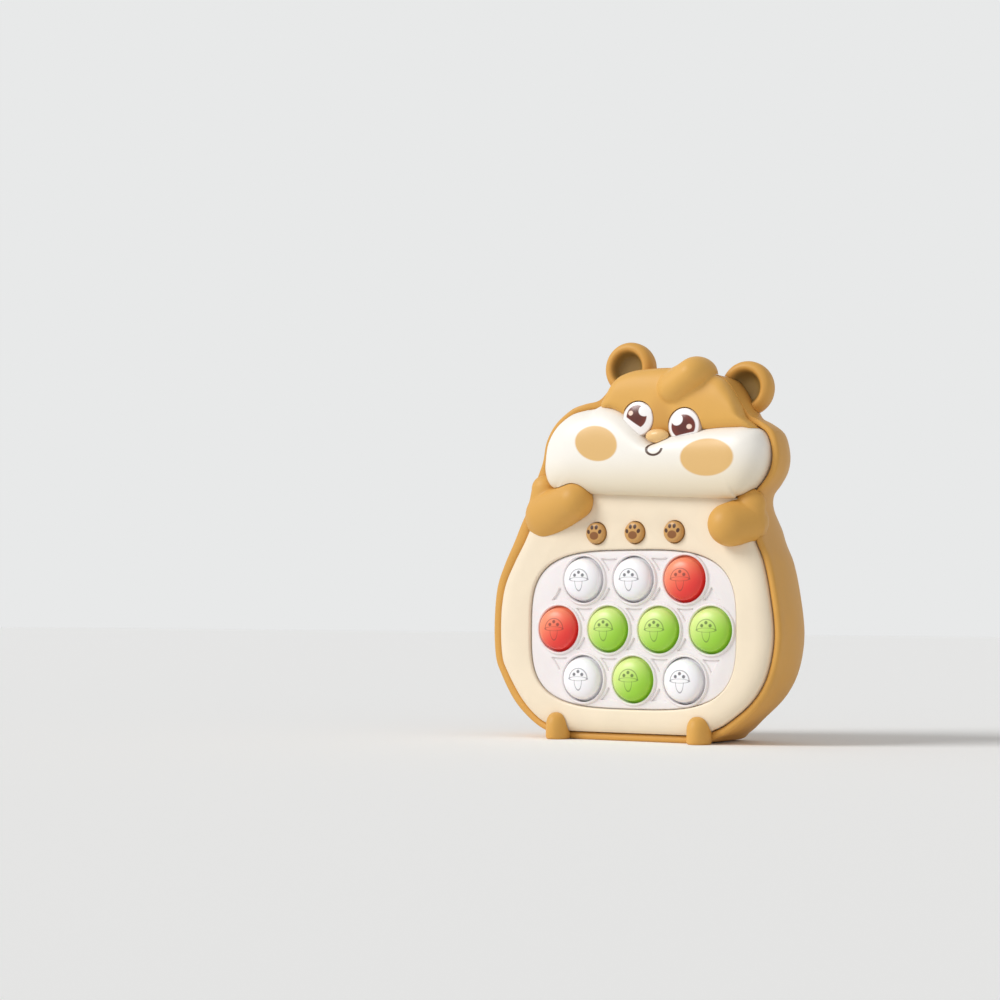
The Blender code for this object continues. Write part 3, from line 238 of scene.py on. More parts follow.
def meshObject(name, shape):
    mesh = bpy.data.meshes.new(name)
    shape.to_mesh(mesh)
    shape.free()
    thing = bpy.data.objects.new(name, mesh)
    bpy.context.scene.collection.objects.link(thing)
    return thing


def applyModifiers(thing):
    bpy.context.view_layer.update()
    graph = bpy.context.evaluated_depsgraph_get()
    mesh = bpy.data.meshes.new_from_object(thing.evaluated_get(graph))
    old = thing.data
    thing.modifiers.clear()
    thing.data = mesh
    bpy.data.meshes.remove(old)


def combine(thing, tool, operation="DIFFERENCE"):
    if not isinstance(tool, bpy.types.Object):
        tool = meshObject("tool", tool)
    step = thing.modifiers.new("combine", "BOOLEAN")
    step.object = tool
    step.operation = operation
    step.solver = "EXACT"
    applyModifiers(thing)
    bpy.data.objects.remove(tool)
    return thing


def together(shapes):
    # Several bodies as one object, which don't touch each other.
    joined = bmesh.new()
    for shape in shapes:
        mesh = bpy.data.meshes.new("part")
        shape.to_mesh(mesh)
        shape.free()
        joined.from_mesh(mesh)
        bpy.data.meshes.remove(mesh)
    return joined


def soften(thing, voxel, rounds, factor=0.5):
    # Melts the joints between overlapping bodies and rounds their edges.
    remesh = thing.modifiers.new("melt", "REMESH")
    remesh.mode = "VOXEL"
    remesh.voxel_size = voxel * mm
    smooth = thing.modifiers.new("smooth", "SMOOTH")
    smooth.factor = factor
    smooth.iterations = rounds
    applyModifiers(thing)


def addPiece(thing, finish, body, nodes, sharp=32):
    mesh = thing.data
    mesh.shade_smooth()
    mesh.set_sharp_from_angle(angle=math.radians(sharp))
    mesh.materials.clear()
    mesh.materials.append(finish)
    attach(thing, body)
    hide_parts(*nodes)


def paint(red, green, blue):
    shades = [value / 255 for value in (red, green, blue)]
    return (*[v / 12.92 if v <= 0.04045 else ((v + 0.055) / 1.055) ** 2.4 for v in shades], 1.0)


def addNode(tree, kind, links=(), **settings):
    node = tree.nodes.new("ShaderNode" + kind)
    for key, value in settings.items():
        setattr(node, key, value)
    for socket, value in links:
        if isinstance(value, bpy.types.NodeSocket):
            tree.links.new(value, node.inputs[socket])
        else:
            node.inputs[socket].default_value = value
    return node


def mixed(tree, share, first, second):
    return addNode(tree, "Mix", [(0, share), (6, first), (7, second)], data_type="RGBA").outputs[2]


def mathOf(tree, operation, first, second=0.0):
    return addNode(tree, "Math", [(0, first), (1, second)], operation=operation).outputs[0]


def stepOf(tree, value, low, high):
    # Rises smoothly from 0 at low to 1 at high. Low may be the larger.
    return addNode(tree, "MapRange", [(0, value), (1, low), (2, high), (3, 0.0), (4, 1.0)],
                   interpolation_type="SMOOTHSTEP").outputs[0]


def localSpot(tree, coords, centre, size, turn=0.0, unit=mm):
    # Coordinates seen from the front in which an ellipse is the unit circle.
    place = (centre[0] * unit, 0.0, centre[1] * unit)
    scale = (size[0] * unit, 1e6, size[1] * unit)
    angles = (0.0, math.radians(-turn), 0.0)
    return addNode(tree, "Mapping", [(0, coords), (1, place), (2, angles), (3, scale)],
                   vector_type="TEXTURE").outputs[0]


def spotMask(tree, coords, centre, size, turn=0.0, edge=0.06, unit=mm):
    local = localSpot(tree, coords, centre, size, turn, unit)
    reach = addNode(tree, "VectorMath", [(0, local)], operation="LENGTH").outputs["Value"]
    return stepOf(tree, reach, 1 + edge, 1 - edge)


def lineMask(tree, coords, centre, size, turn=0.0, width=0.1, side=0, unit=mm):
    # A thin line round an ellipse. Side 1 keeps its upper half and -1 its lower half.
    local = localSpot(tree, coords, centre, size, turn, unit)
    reach = addNode(tree, "VectorMath", [(0, local)], operation="LENGTH").outputs["Value"]
    away = mathOf(tree, "ABSOLUTE", mathOf(tree, "SUBTRACT", reach, 1.0))
    mask = stepOf(tree, away, width * 1.5, width * 0.6)
    if side:
        height = addNode(tree, "SeparateXYZ", [(0, local)]).outputs[2]
        mask = mathOf(tree, "MULTIPLY", mask, stepOf(tree, height, -0.06 * side, 0.06 * side))
    return mask


def printedOver(tree, base, masks, colour):
    for mask in masks:
        base = mixed(tree, mask, base, colour)
    return base


plainFinish = {"mottle": 0.06, "mottleScale": 60.0, "grainScale": 2600.0, "bump": 0.12, "metallic": 0.0,
               "coat": 0.0, "gloss": 0.5, "subsurface": 0.0}


def moulded(name, look, decorate=None, mapName=None):
    # A moulded finish with slight mottling, fine grain and an uneven shine.
    look = {**plainFinish, **look}
    finish = bpy.data.materials.new(name)
    finish.use_nodes = True
    tree = finish.node_tree
    shader = tree.nodes["Principled BSDF"]
    coords = addNode(tree, "TexCoord").outputs["Object"]
    mottle = addNode(tree, "TexNoise", [("Vector", coords), ("Scale", look["mottleScale"]), ("Detail", 3.0),
                                        ("Roughness", 0.55)]).outputs[0]
    light = look["colour"]
    dark = tuple(value * (1 - look["mottle"]) for value in light[:3]) + (1.0,)
    base = mixed(tree, stepOf(tree, mottle, 0.35, 0.65), dark, light)
    if decorate:
        prints = coords
        if mapName:     # the map's middle becomes 0, and its edges -1 and 1
            flat = addNode(tree, "UVMap", uv_map=mapName).outputs[0]
            centred = addNode(tree, "VectorMath", [(0, flat), (1, (2, 2, 0)), (2, (-1, -1, 0))],
                              operation="MULTIPLY_ADD").outputs[0]
            parts = addNode(tree, "SeparateXYZ", [(0, centred)]).outputs
            prints = addNode(tree, "CombineXYZ", [(0, parts[0]), (2, parts[1])]).outputs[0]
        base = decorate(tree, prints, base, shader)
    tree.links.new(base, shader.inputs["Base Color"])
    grain = addNode(tree, "TexNoise", [("Vector", coords), ("Scale", look["grainScale"]),
                                       ("Detail", 2.0)]).outputs[0]
    bump = addNode(tree, "Bump", [("Strength", look["bump"]), ("Distance", 0.00006), ("Height", grain)])
    tree.links.new(bump.outputs[0], shader.inputs["Normal"])
    rough = look["roughness"]
    shine = addNode(tree, "MapRange", [(0, mottle), (1, 0.3), (2, 0.7), (3, rough - 0.05), (4, rough + 0.05)])
    tree.links.new(shine.outputs[0], shader.inputs["Roughness"])
    constants = {"Metallic": look["metallic"], "Coat Weight": look["coat"], "Coat Roughness": 0.25,
                 "Specular IOR Level": look["gloss"], "Subsurface Weight": look["subsurface"],
                 "Subsurface Scale": 0.002}
    for socket, value in constants.items():
        shader.inputs[socket].default_value = value
    return finish


caseShape = {
    "halfWidth": 59.4,
    "points": 288,
    "rimWidth": 2.6,
    "rimDepth": 1.2,
    "rimSteps": 8,
    "innerEdge": 2.9,
    "coreHalf": 20.0,
    "coreLow": 29.95,
    "coreHigh": 103.0,
    "headOffset": 12.0,
    "coreReach": 0.80,
    "backDepth": 28.5,
    "backInset": 14.0,
    "headInset": 23.0,
    "headEdge": 2.4,
    "headEdgeStart": 0.88,
    "headBand": (74.9, 94.95),
    "crownSplit": 15.0,
    "crownLeft": (119.0, 124.0),
    "crownRight": (110.5, 114.5),
    "slices": (-5, -1, 3, 7, 11, 15, 18, 21, 23, 24.3),
    "baseRound": 3.0,
    "baseTop": 12.0,
    "wall": 2.2,
    "outline": [
        (24.0, 0.0), (35.0, 2.6), (42.5, 7.0), (50.3, 13.6), (55.6, 21.5), (58.5, 31.0), (59.3, 41.0),
        (57.6, 54.0), (55.2, 64.5), (52.2, 71.5), (50.4, 78.0), (50.0, 84.0), (51.5, 88.5), (54.8, 92.0),
        (57.6, 96.5), (58.4, 102.3), (56.5, 109.5), (52.0, 113.2), (47.8, 115.4), (45.6, 118.0), (43.5, 121.4),
        (40.5, 126.0), (37.0, 129.6), (31.0, 131.6), (22.0, 133.6), (13.5, 134.3), (3.2, 134.2), (-1.9, 133.2),
        (-6.5, 131.0), (-10.0, 127.2), (-14.0, 123.8), (-20.0, 122.8), (-26.5, 120.9), (-33.0, 116.0),
        (-37.0, 109.5), (-38.6, 102.0), (-41.5, 95.0), (-43.6, 87.6), (-47.8, 79.4), (-51.2, 72.1),
        (-54.9, 64.8), (-58.4, 55.5), (-59.6, 42.5), (-59.0, 30.3), (-56.7, 23.8), (-50.5, 13.5), (-42.7, 6.2),
        (-35.0, 2.2), (-24.0, 0.0),
    ],
}
# How much wider the left rim is on the flank, under the arm and at the shoulder, and where each begins.
leftRim = {"flank": 0.35, "arm": 1.05, "shoulder": 1.5, "across": (24, 36), "base": (2, 16),
           "armBand": (45, 78), "shoulderBand": (84, 92), "cheekBand": (94, 101)}


def caseOutline():
    curve = [(x, max(z, 0)) for x, z in curveThrough(caseShape["outline"], 12, True)]
    reach = max(abs(x) for x, z in curve)
    return evenPoints([(x * caseShape["halfWidth"] / reach, z) for x, z in curve], caseShape["points"])


def coreWay(x, z):
    # Way from a point to the inner line that the walls round off towards.
    low, high, half = caseShape["coreLow"], caseShape["coreHigh"], caseShape["coreHalf"]
    coreZ = min(max(z, low), high)
    centre = caseShape["headOffset"] * (coreZ - low) / (high - low)
    return Vector((min(max(x, centre - half), centre + half) - x, coreZ - z))


def drawnIn(points, distance):
    moved = []
    for x, z in points:
        way = coreWay(x, z).normalized() * distance
        moved.append((x + way.x, z + way.y))
    return moved


def rimLine(points, distance):
    # Drawn in like drawnIn, and further down the left flank.
    rim = leftRim
    moved = []
    for (x, z), (inX, inZ) in zip(points, drawnIn(points, distance)):
        share = rim["flank"] + (rim["arm"] - rim["flank"]) * smoothShare(z, *rim["armBand"])
        share += (rim["shoulder"] - rim["arm"]) * smoothShare(z, *rim["shoulderBand"])
        share *= smoothShare(-x, *rim["across"]) * smoothShare(z, *rim["base"])
        share *= 1 - smoothShare(z, *rim["cheekBand"])
        moved.append((inX + (inX - x) * share, inZ + (inZ - z) * share))
    return moved


def rounded(points, y, wall=0.0):
    # The outline at a depth, drawn in as the back rounds off.
    # The body, the head and the base each have their own way.
    depth = caseShape["backDepth"]
    body = caseShape["backInset"] * roundShare(max(0, y - backY + depth) / (depth - wall))
    turn = max(0, y - plateBackY) / (backY - wall - plateBackY)
    edge = caseShape["headEdgeStart"]
    late = max(0, turn - edge) / (1 - edge)
    head = caseShape["headInset"] * turn ** 2 + caseShape["headEdge"] * roundShare(late)
    base = caseShape["baseRound"]
    base *= roundShare(max(0, y - backY + wall + base) / base)
    moved = []
    for x, z in points:
        way = coreWay(x, z)
        reach = way.length * caseShape["coreReach"]
        way.normalize()
        headShare = smoothShare(z, *caseShape["headBand"])
        baseShare = 1 - smoothShare(z, 0, caseShape["baseTop"])
        sideways = min(body + (head - body) * headShare, reach)
        upwards = min(body + (base - body) * baseShare, reach)
        moved.append((x + way.x * sideways, z + way.y * upwards))
    return moved


outline = caseOutline()


def grownCase(gap=0.1):
    # The case as a block, a little larger, to part what rests on it from it.
    ys = [rimY, *caseShape["slices"], backY]
    rings = [ringAt(grown(outline, gap), rimY - gap)]
    rings += [ringAt(grown(rounded(outline, y), gap), y + gap) for y in ys]
    return loft(rings)


def crownShare(x, z):
    # 1 where the head's dome lies over the rim, 0 round the cheeks and the belly.
    return smoothShare(z, *caseShape["crownLeft" if x < caseShape["crownSplit"] else "crownRight"])


print("tub")

bayShape = {
    "halfWidth": 24.35, "low": 27.35, "high": 60.65, "floor": 11.55, "back": 22.65, "wall": 1.6, "sink": 0.6,
    "doorHalf": 25.85, "doorLow": 25.85, "doorHigh": 62.15, "tongueHalf": 6.3, "tongueTop": 69.65,
    "screwZ": 65.9, "screwFront": 14.0, "screwRadius": 1.75, "bossDepth": 8.0, "corner": 1.2,
    "tabs": (-13.0, 13.0), "tabHalf": 3.3, "tabFront": 19.55, "tabBack": 22.55, "tabLow": 23.35,
    "tabTop": 27.95,
}
bossShape = {"radius": 3.8, "front": 1.05, "wall": 1.1, "back": 23.6, "slices": (-3, 3, 9, 14, 18, 21),
             "seatRadius": 2.7, "seatFront": 3.05, "holeRadius": 1.55, "holeFront": -1.0, "holeBack": 5.0,
             "postRadius": 3.0, "postBack": 0.75}
grilleShape = {"x": 9.0, "z": 99.5, "slots": 7, "pitch": 3.4, "halfWidth": 0.9, "radius": 12.5, "depth": 3.2}
posts = [(side * x, z) for x, z in ((38.5, 67.5), (34.8, 10.8)) for side in (-1, 1)]


def makeTub():
    rim, deep = caseShape["rimWidth"], caseShape["rimDepth"]
    outer = []
    for step in range(caseShape["rimSteps"] + 1):
        angle = math.pi * step / caseShape["rimSteps"]
        inset = rim / 2 * (1 + math.cos(angle))
        drop = deep * (1 - math.sin(angle))
        outer.append([(x, rimY + drop * (1 - crownShare(x, z)), z) for x, z in rimLine(outline, inset)])
    depth = caseShape["backDepth"]
    straight = backY - depth
    ys = [rimY + 3, plateBackY, rimY + 7]
    ys += [straight + depth * math.sin(math.radians(angle)) for angle in range(0, 91, 6)]
    outer += [ringAt(rounded(outline, y), y) for y in ys]
    wallLine = drawnIn(outline, rim)
    inner = [ringAt(rimLine(outline, rim), plateBackY), ringAt(wallLine, plateBackY + 1)]
    wall = caseShape["wall"]
    ends = [straight + (depth - wall) * math.sin(math.radians(angle)) for angle in range(0, 91, 15)]
    inner += [ringAt(rounded(wallLine, y, wall), y) for y in ends]
    return meshObject("rear_tub", loft(outer[::-1] + inner))


def addBay(tub):
    # The battery bay, the seats of the door and its tongue, and the slots for the door's tabs.
    bay = bayShape
    side, wall, tongue, corner = bay["halfWidth"], bay["wall"], bay["tongueHalf"], bay["corner"] + fitGap
    inside, past = backY - bay["sink"], backY + overrun
    combine(tub, roundedBlock((-side - wall, bay["floor"] - wall, bay["low"] - wall),
                              (side + wall, inside, bay["high"] + wall), 2.0), "UNION")
    combine(tub, roundedBlock((-tongue - wall, backY - bay["bossDepth"], bay["high"] + bay["sink"]),
                              (tongue + wall, inside, bay["tongueTop"] + wall), 1.0), "UNION")
    combine(tub, roundedBlock((-side, bay["floor"], bay["low"]), (side, past, bay["high"]), 1.0))
    combine(tub, roundedBlock((-bay["doorHalf"], bay["back"], bay["doorLow"]),
                              (bay["doorHalf"], past, bay["doorHigh"]), corner))
    combine(tub, roundedBlock((-tongue, bay["back"], bay["high"]), (tongue, past, bay["tongueTop"]), corner))
    combine(tub, rod(bay["screwRadius"], bay["screwFront"], past, 0, bay["screwZ"], 24))
    for middle in bay["tabs"]:
        left, right = middle - bay["tabHalf"], middle + bay["tabHalf"]
        for low, back in ((bay["tabLow"], bay["tabBack"]), (bay["doorLow"], backY)):
            combine(tub, roundedBlock((left, bay["tabFront"], low), (right, back, bay["tabTop"])))


def addBosses(tub):
    # Screw bosses that end inside the back wall, with deep seats for the screw heads.
    boss = bossShape
    past = backY + overrun
    wallLine = drawnIn(outline, caseShape["rimWidth"])
    for x, z in posts:
        rings = [ringAt(rounded(wallLine, y, boss["wall"]), y) for y in (rimY, *boss["slices"], boss["back"])]
        body = meshObject("boss", rod(boss["radius"], boss["front"], past, x, z))
        combine(body, loft(rings), "INTERSECT")
        combine(tub, body, "UNION")
        combine(tub, rod(boss["seatRadius"], boss["seatFront"], past, x, z))
        combine(tub, rod(boss["holeRadius"], boss["holeFront"], boss["holeBack"], x, z, 24))


def addGrille(tub):
    grille = grilleShape
    half = grille["halfWidth"]
    slots = []
    for index in range(grille["slots"]):
        across = grille["pitch"] * (index - (grille["slots"] - 1) / 2)
        reach = math.sqrt(grille["radius"] ** 2 - across ** 2)
        x, z = grille["x"] + across, grille["z"]
        slots.append(roundedBlock((x - half, backY - grille["depth"], z - reach),
                                  (x + half, backY + overrun, z + reach), half * 0.98))
    combine(tub, together(slots))


tanLook = {"colour": paint(219, 164, 80), "roughness": 0.5, "mottle": 0.05, "gloss": 0.35}
tub = makeTub()
addBay(tub)
addBosses(tub)
addGrille(tub)
addPiece(tub, moulded("tan_shell", tanLook), "case", ["rear_shell"])


print("belly")

bellyShape = {"round": 6.0, "steps": 9, "wall": 2.0, "chin": 89.0, "chinSlope": -0.055, "spineHalf": 20.0,
              "post": 1.4}
windowShape = {"x": 1.2, "z": 40.2, "halfWidth": 42.5, "halfHeight": 28.8, "power": 3.4, "count": 160,
               "flare": 0.7}
keyShape = {"x": 3.4, "z": 75.0, "pitch": 16.0, "radius": 3.8, "flare": 0.35, "proud": 2.0, "flange": 2.3,
            "flangeRadius": 4.5, "flangeDepth": 1.0, "stem": 1.6, "sides": 48,
            "crown": [(0, 0), (1.4, 0.02), (2.4, 0.09), (3.0, 0.2), (3.4, 0.4), (3.66, 0.7), (3.78, 1.1),
                      (3.8, 1.6)]}


def chinLine(x):
    return bellyShape["chin"] + bellyShape["chinSlope"] * x


def windowOutline(growth=0.0):
    # An oval with squarer corners than an ellipse.
    window = windowShape
    power = 2 / window["power"]
    points = []
    for index in range(window["count"]):
        angle = 2 * math.pi * index / window["count"]
        c, s = math.cos(angle), math.sin(angle)
        points.append((window["x"] + window["halfWidth"] * math.copysign(abs(c) ** power, c),
                       window["z"] + window["halfHeight"] * math.copysign(abs(s) ** power, s)))
    return grown(evenPoints(points, window["count"]), growth)


def bellyOutline(wall=0.0):
    line = rimLine(outline, caseShape["innerEdge"] + wall)
    return evenPoints(clipped(line, lambda p: chinLine(p[0]) - wall - p[1]), caseShape["points"])


def bellyInset(points, distance):
    half = bellyShape["spineHalf"]
    moved = []
    for x, z in points:
        way = Vector((min(max(x, -half), half) - x, max(z, caseShape["coreLow"]) - z))
        if way.length > 0:
            way = way.normalized() * min(distance, way.length)
        moved.append((x + way.x, z + way.y))
    return moved


def bellyRings(growth=0.0):
    points = bellyOutline()
    rings = [ringAt(grown(points, growth), plateBackY), ringAt(grown(points, growth), rimY - growth)]
    for step in range(1, bellyShape["steps"] + 1):
        angle = math.pi / 2 * step / bellyShape["steps"]
        inset = bellyShape["round"] * (1 - math.cos(angle))
        y = rimY - (rimY - bellyY) * math.sin(angle) - growth
        rings.append(ringAt(grown(bellyInset(points, inset), growth), y))
    return rings


def keySpots():
    return [(keyShape["x"] + keyShape["pitch"] * (index - 1), keyShape["z"]) for index in range(3)]


def flaredCutter(grow, frontY, endY, flare):
    # Rings for an opening with a softly rounded mouth. grow(distance) gives its outline.
    rings = [ringAt(grow(flare * 2.2), frontY - flare)]
    for step in range(5):
        angle = math.pi / 2 * step / 4
        rings.append(ringAt(grow(flare * (1 - math.sin(angle))), frontY + flare * (1 - math.cos(angle))))
    rings.append(ringAt(grow(0), endY))
    return loft(rings)


def makeBelly():
    belly = meshObject("belly_plate", loft(bellyRings()))
    inner = bellyOutline(bellyShape["wall"])
    combine(belly, loft([ringAt(inner, bellyY + bellyShape["wall"]), ringAt(inner, plateBackY + overrun)]))
    combine(belly, flaredCutter(windowOutline, bellyY, plateBackY, windowShape["flare"]))
    turns = [2 * math.pi * i / keyShape["sides"] for i in range(keyShape["sides"])]
    for x, z in keySpots():
        def circle(growth):
            radius = keyShape["radius"] + fitGap + growth
            return [(x + radius * math.cos(t), z + radius * math.sin(t)) for t in turns]
        combine(belly, flaredCutter(circle, bellyY, plateBackY, keyShape["flare"]))
    for x, z in posts:
        post = rod(bossShape["postRadius"], bellyY + bellyShape["post"], bossShape["postBack"], x, z, 24)
        combine(belly, post, "UNION")
    return belly


creamLook = {"colour": paint(244, 228, 202), "roughness": 0.45, "mottle": 0.03, "coat": 0.05}
addPiece(makeBelly(), moulded("cream_belly", creamLook), "case", ["front_shell"])


print("face")

faceShape = {
    "cheekLine": [(-15.0, 121.3), (-11.5, 121.7), (-8.0, 121.6), (-4.5, 120.6), (-1.0, 118.7), (2.5, 115.7),
                  (6.0, 111.8), (9.0, 108.8), (12.4, 107.2), (17.4, 109.4), (23.4, 110.6), (30.9, 111.5),
                  (38.1, 112.0), (44.0, 112.0), (47.5, 111.9), (50.5, 111.0), (52.0, 110.3)],
    "cheekSpine": ((-14.6, 104.5), (41.4, 99.5)),
    "cheekReach": 10.0, "cheekSide": 1.0, "sideRise": 12.0, "overhang": 0.8,
    "headSpine": ((-3.6, 122.5), (42.5, 116.5)), "headProud": 6.5, "crownRamp": 8,
    "seam": 0.1, "tuck": 1.5,           # gap above the cheeks, and how far the dome reaches behind them
    "linePoints": 100, "chinPoints": 56, "cheekPoints": 320, "cornerRounds": 50, "cornerTop": 104.0,
    "cornerLine": ((-30.6, 90.0), (-37.6, 102.5)),
}
swellShares = (0.0, 0.008, 0.02, 0.04, 0.07, 0.11, 0.16, 0.22, 0.29, 0.37, 0.46, 0.56, 0.67, 0.79, 0.91, 0.97)


def heightOn(curve, x):
    if x <= curve[0][0]:
        return curve[0][1]
    for (x0, z0), (x1, z1) in zip(curve, curve[1:]):
        if x <= x1:
            return z0 + (z1 - z0) * (x - x0) / (x1 - x0)
    return curve[-1][1]


def cornerReach(point):
    # Positive on the inner side of the line that takes off the cheeks' lower left corner.
    (lowX, lowZ), (highX, highZ) = faceShape["cornerLine"]
    return (point[0] - lowX) * (highZ - lowZ) - (point[1] - lowZ) * (highX - lowX)


def splitHead():
    # Outlines of the cheeks, of the forehead inside the rim, and of its dome, which also covers the rim.
    face = faceShape
    region = clipped(drawnIn(outline, caseShape["innerEdge"]), lambda p: p[1] - chinLine(p[0]) - fitGap)
    curve = curveThrough(face["cheekLine"], 8, False)
    above = [p[1] > heightOn(curve, p[0]) for p in region]
    start = next(i for i in range(len(region)) if above[i] and not above[i - 1])
    region = region[start:] + region[:start]
    above = above[start:] + above[:start]
    crown = region[:above.index(False)]
    sides = region[len(crown):]
    rightX = (crown[0][0] + sides[-1][0]) / 2
    leftX = (crown[-1][0] + sides[0][0]) / 2
    count = face["linePoints"]
    line = [(x, heightOn(curve, x)) for x in (rightX + (leftX - rightX) * i / count for i in range(count + 1))]
    line = [point for point in line if isInside(point, region)]
    left = [p for p in sides if p[0] < 0]
    right = [p for p in sides if p[0] >= 0]
    count = face["chinPoints"]
    chin = [tuple(a + (b - a) * i / count for a, b in zip(left[-1], right[0])) for i in range(1, count)]
    cheeks = line + left + chin + right
    lower, tucked = (grown(cheeks, way)[:len(line)][::-1][1:-1] for way in (face["seam"], -face["tuck"]))
    cheeks = evenPoints(clipped(cheeks, cornerReach), face["cheekPoints"])
    for _ in range(face["cornerRounds"]):
        beside = zip(cheeks[-1:] + cheeks[:-1], cheeks, cheeks[1:] + cheeks[:1])
        cheeks = [tuple((a + 2 * b + c) / 4 for a, b, c in zip(before, point, after))
                  if point[1] < face["cornerTop"] else point for before, point, after in beside]
    over = []
    for index, (x, z) in enumerate(crown):
        share = min(1, index / face["crownRamp"], (len(crown) - 1 - index) / face["crownRamp"])
        way = coreWay(x, z).normalized() * caseShape["rimWidth"] * share
        over.append((x - way.x, z - way.y))
    return cheeks, crown + lower, over + tucked


def towards(points, share, spine):
    (leftX, leftZ), (rightX, rightZ) = spine
    moved = []
    for x, z in points:
        goalX = min(max(x, leftX), rightX)
        goalZ = leftZ + (rightZ - leftZ) * (goalX - leftX) / (rightX - leftX)
        moved.append((x + (goalX - x) * share, z + (goalZ - z) * share))
    return moved


def swollen(points, sides, crest, spine):
    # Rings that rise from each point's own depth towards a common crest.
    rings = []
    for share in swellShares:
        rise = math.sqrt(1 - (1 - share) ** 3)
        moved = towards(points, share, spine)
        rings.append([(x, y + (crest - y) * rise, z) for (x, z), y in zip(moved, sides)])
    return rings


def cheekSides(points, shift):
    # The cheeks swell from over the belly plate at the chin, and from the rim's level above it.
    low = bellyY - fitGap - faceShape["cheekSide"]
    sides = []
    for x, z in points:
        share = smoothShare(z, chinLine(x), chinLine(x) + faceShape["sideRise"])
        sides.append(low + (rimY - fitGap - low) * share + shift)
    return sides


def cheekRings(cheeks, growth=0.0):
    hanging = [(x, z - faceShape["overhang"] if z < chinLine(x) + 2 * fitGap else z) for x, z in cheeks]
    lips = cheekSides(cheeks, faceShape["cheekSide"])
    rings = [ringAt(grown(cheeks, growth), plateBackY)]
    rings.append([(x, y, z) for (x, z), y in zip(grown(cheeks, growth), lips)])
    sides = cheekSides(cheeks, -growth)
    crest = rimY - faceShape["cheekReach"] - growth
    return rings + swollen(grown(hanging, growth), sides, crest, faceShape["cheekSpine"])


def foreheadRings(forehead, crown, growth=0.0):
    front = rimY - fitGap - growth
    rings = [ringAt(grown(forehead, growth), plateBackY), ringAt(grown(forehead, growth), front),
             ringAt(grown(crown, growth), front)]
    crest = rimY - faceShape["headProud"] - growth
    fronts = [front - 2 * fitGap] * len(crown)
    return rings + swollen(grown(crown, growth), fronts, crest, faceShape["headSpine"])


armShape = {
    "left_arm": {"root": (-36.2, 81.6), "hand": (-20.6, 86.8), "radii": (9.3, 6.9), "lobe": (-37.0, 92.0),
                 "lobeRadii": (8.8, 5.2)},
    "right_arm": {"root": (45.6, 78.8), "hand": (42.2, 77.0), "radii": (8.4, 7.8), "lobe": (47.6, 84.4),
                  "lobeRadii": (8.2, 5.6)},
    "rootBack": 0.3, "reach": 12.5, "halfDepth": 7.0, "lobeDepth": 4.8, "melt": (0.36, 10), "bellyGap": 0.15,
}


def armBody(name, growth=0.0):
    # The limb, and a lobe that runs from the shoulder up along the rim.
    arm = armShape[name]
    start = (arm["root"][0], rimY + armShape["rootBack"], arm["root"][1])
    end = (arm["hand"][0], rimY - armShape["reach"] + armShape["halfDepth"], arm["hand"][1])
    top = (arm["lobe"][0], start[1], arm["lobe"][1])
    bodies = [limb(start, end, arm["radii"], armShape["halfDepth"], growth),
              limb(start, top, arm["lobeRadii"], armShape["lobeDepth"], growth)]
    body = meshObject(name + "_paw", together(bodies))
    soften(body, *armShape["melt"])
    return body


cheekOutline, foreheadOutline, crownOutline = splitHead()
cheeks = meshObject("cheeks", loft(cheekRings(cheekOutline)))
for name in ("left_arm", "right_arm"):
    combine(cheeks, armBody(name, fitGap))

cheekLook = {"colour": paint(250, 245, 236), "roughness": 0.42, "mottle": 0.02, "coat": 0.06}
cheekMarksAndShade = {
    # The low entries are painted shade: the cheeks get darker and warmer towards the chin.
    "low": (0.106, 0.089), "chinShadeShare": 0.8, "chinShadeColour": paint(232, 216, 184),      # heights in metres
    "spots": [((-9.4, 107.2), (8.9, 6.3), -14), ((35.4, 100.7), (10.4, 6.6), -2)],
    "spotColour": paint(226, 183, 116),
    "smile": (14.3, 104.6), "smileSize": (3.1, 2.4), "smileWidth": 0.16, "corner": (11.4, 105.9),
    "cornerSize": (2.3, 2.0), "smileColour": paint(70, 38, 16),
}


def cheekPrintsAndShade(tree, coords, base, shader):
    # Painted shade, warmer and darker towards the chin, with a printed spot on each cheek and a printed smile
    # that curls up at its left end.
    marks = cheekMarksAndShade
    low = stepOf(tree, addNode(tree, "SeparateXYZ", [(0, coords)]).outputs[2], *marks["low"])
    base = mixed(tree, mathOf(tree, "MULTIPLY", low, marks["chinShadeShare"]), base, marks["chinShadeColour"])
    spots = [spotMask(tree, coords, centre, size, turn, 0.05) for centre, size, turn in marks["spots"]]
    base = printedOver(tree, base, spots, marks["spotColour"])
    lower, upper = (lineMask(tree, coords, marks["smile"], marks["smileSize"], 0, marks["smileWidth"], side)
                    for side in (-1, 1))
    corner = spotMask(tree, coords, marks["corner"], marks["cornerSize"], 0, 0.1)
    return printedOver(tree, base, [lower, mathOf(tree, "MULTIPLY", upper, corner)], marks["smileColour"])


addPiece(cheeks, moulded("cheek_white", cheekLook, cheekPrintsAndShade), "case", ["cheek_shell"])

# The head's tan is a little lighter than the case's: painted light on the top of the toy.
headLitLook = {"colour": paint(226, 173, 88), "roughness": 0.5, "mottle": 0.04, "gloss": 0.35}
lockShape = {"root": (19.9, -0.6, 126.4), "tip": (27.4, -1.6, 131.0), "radii": (7.3, 6.5), "halfDepth": 9.4,
             "blendRoot": (14.0, 2.2, 127.0), "blendTip": (21.5, 0.0, 128.4), "blendRadii": (6.0, 7.0),
             "blendDepth": 7.6, "melt": (0.42, 10), "wallGap": 0.12}
eyeShape = {"left_eye": (5.8, 115.7), "right_eye": (24.5, 112.5), "radius": 6.3, "proud": 6.2, "bulge": 1.0,
            "edge": 0.3, "depth": 6.0, "holeReach": 12.0,
            "rings": (0, 0.15, 0.3, 0.45, 0.6, 0.72, 0.83, 0.92, 0.98)}


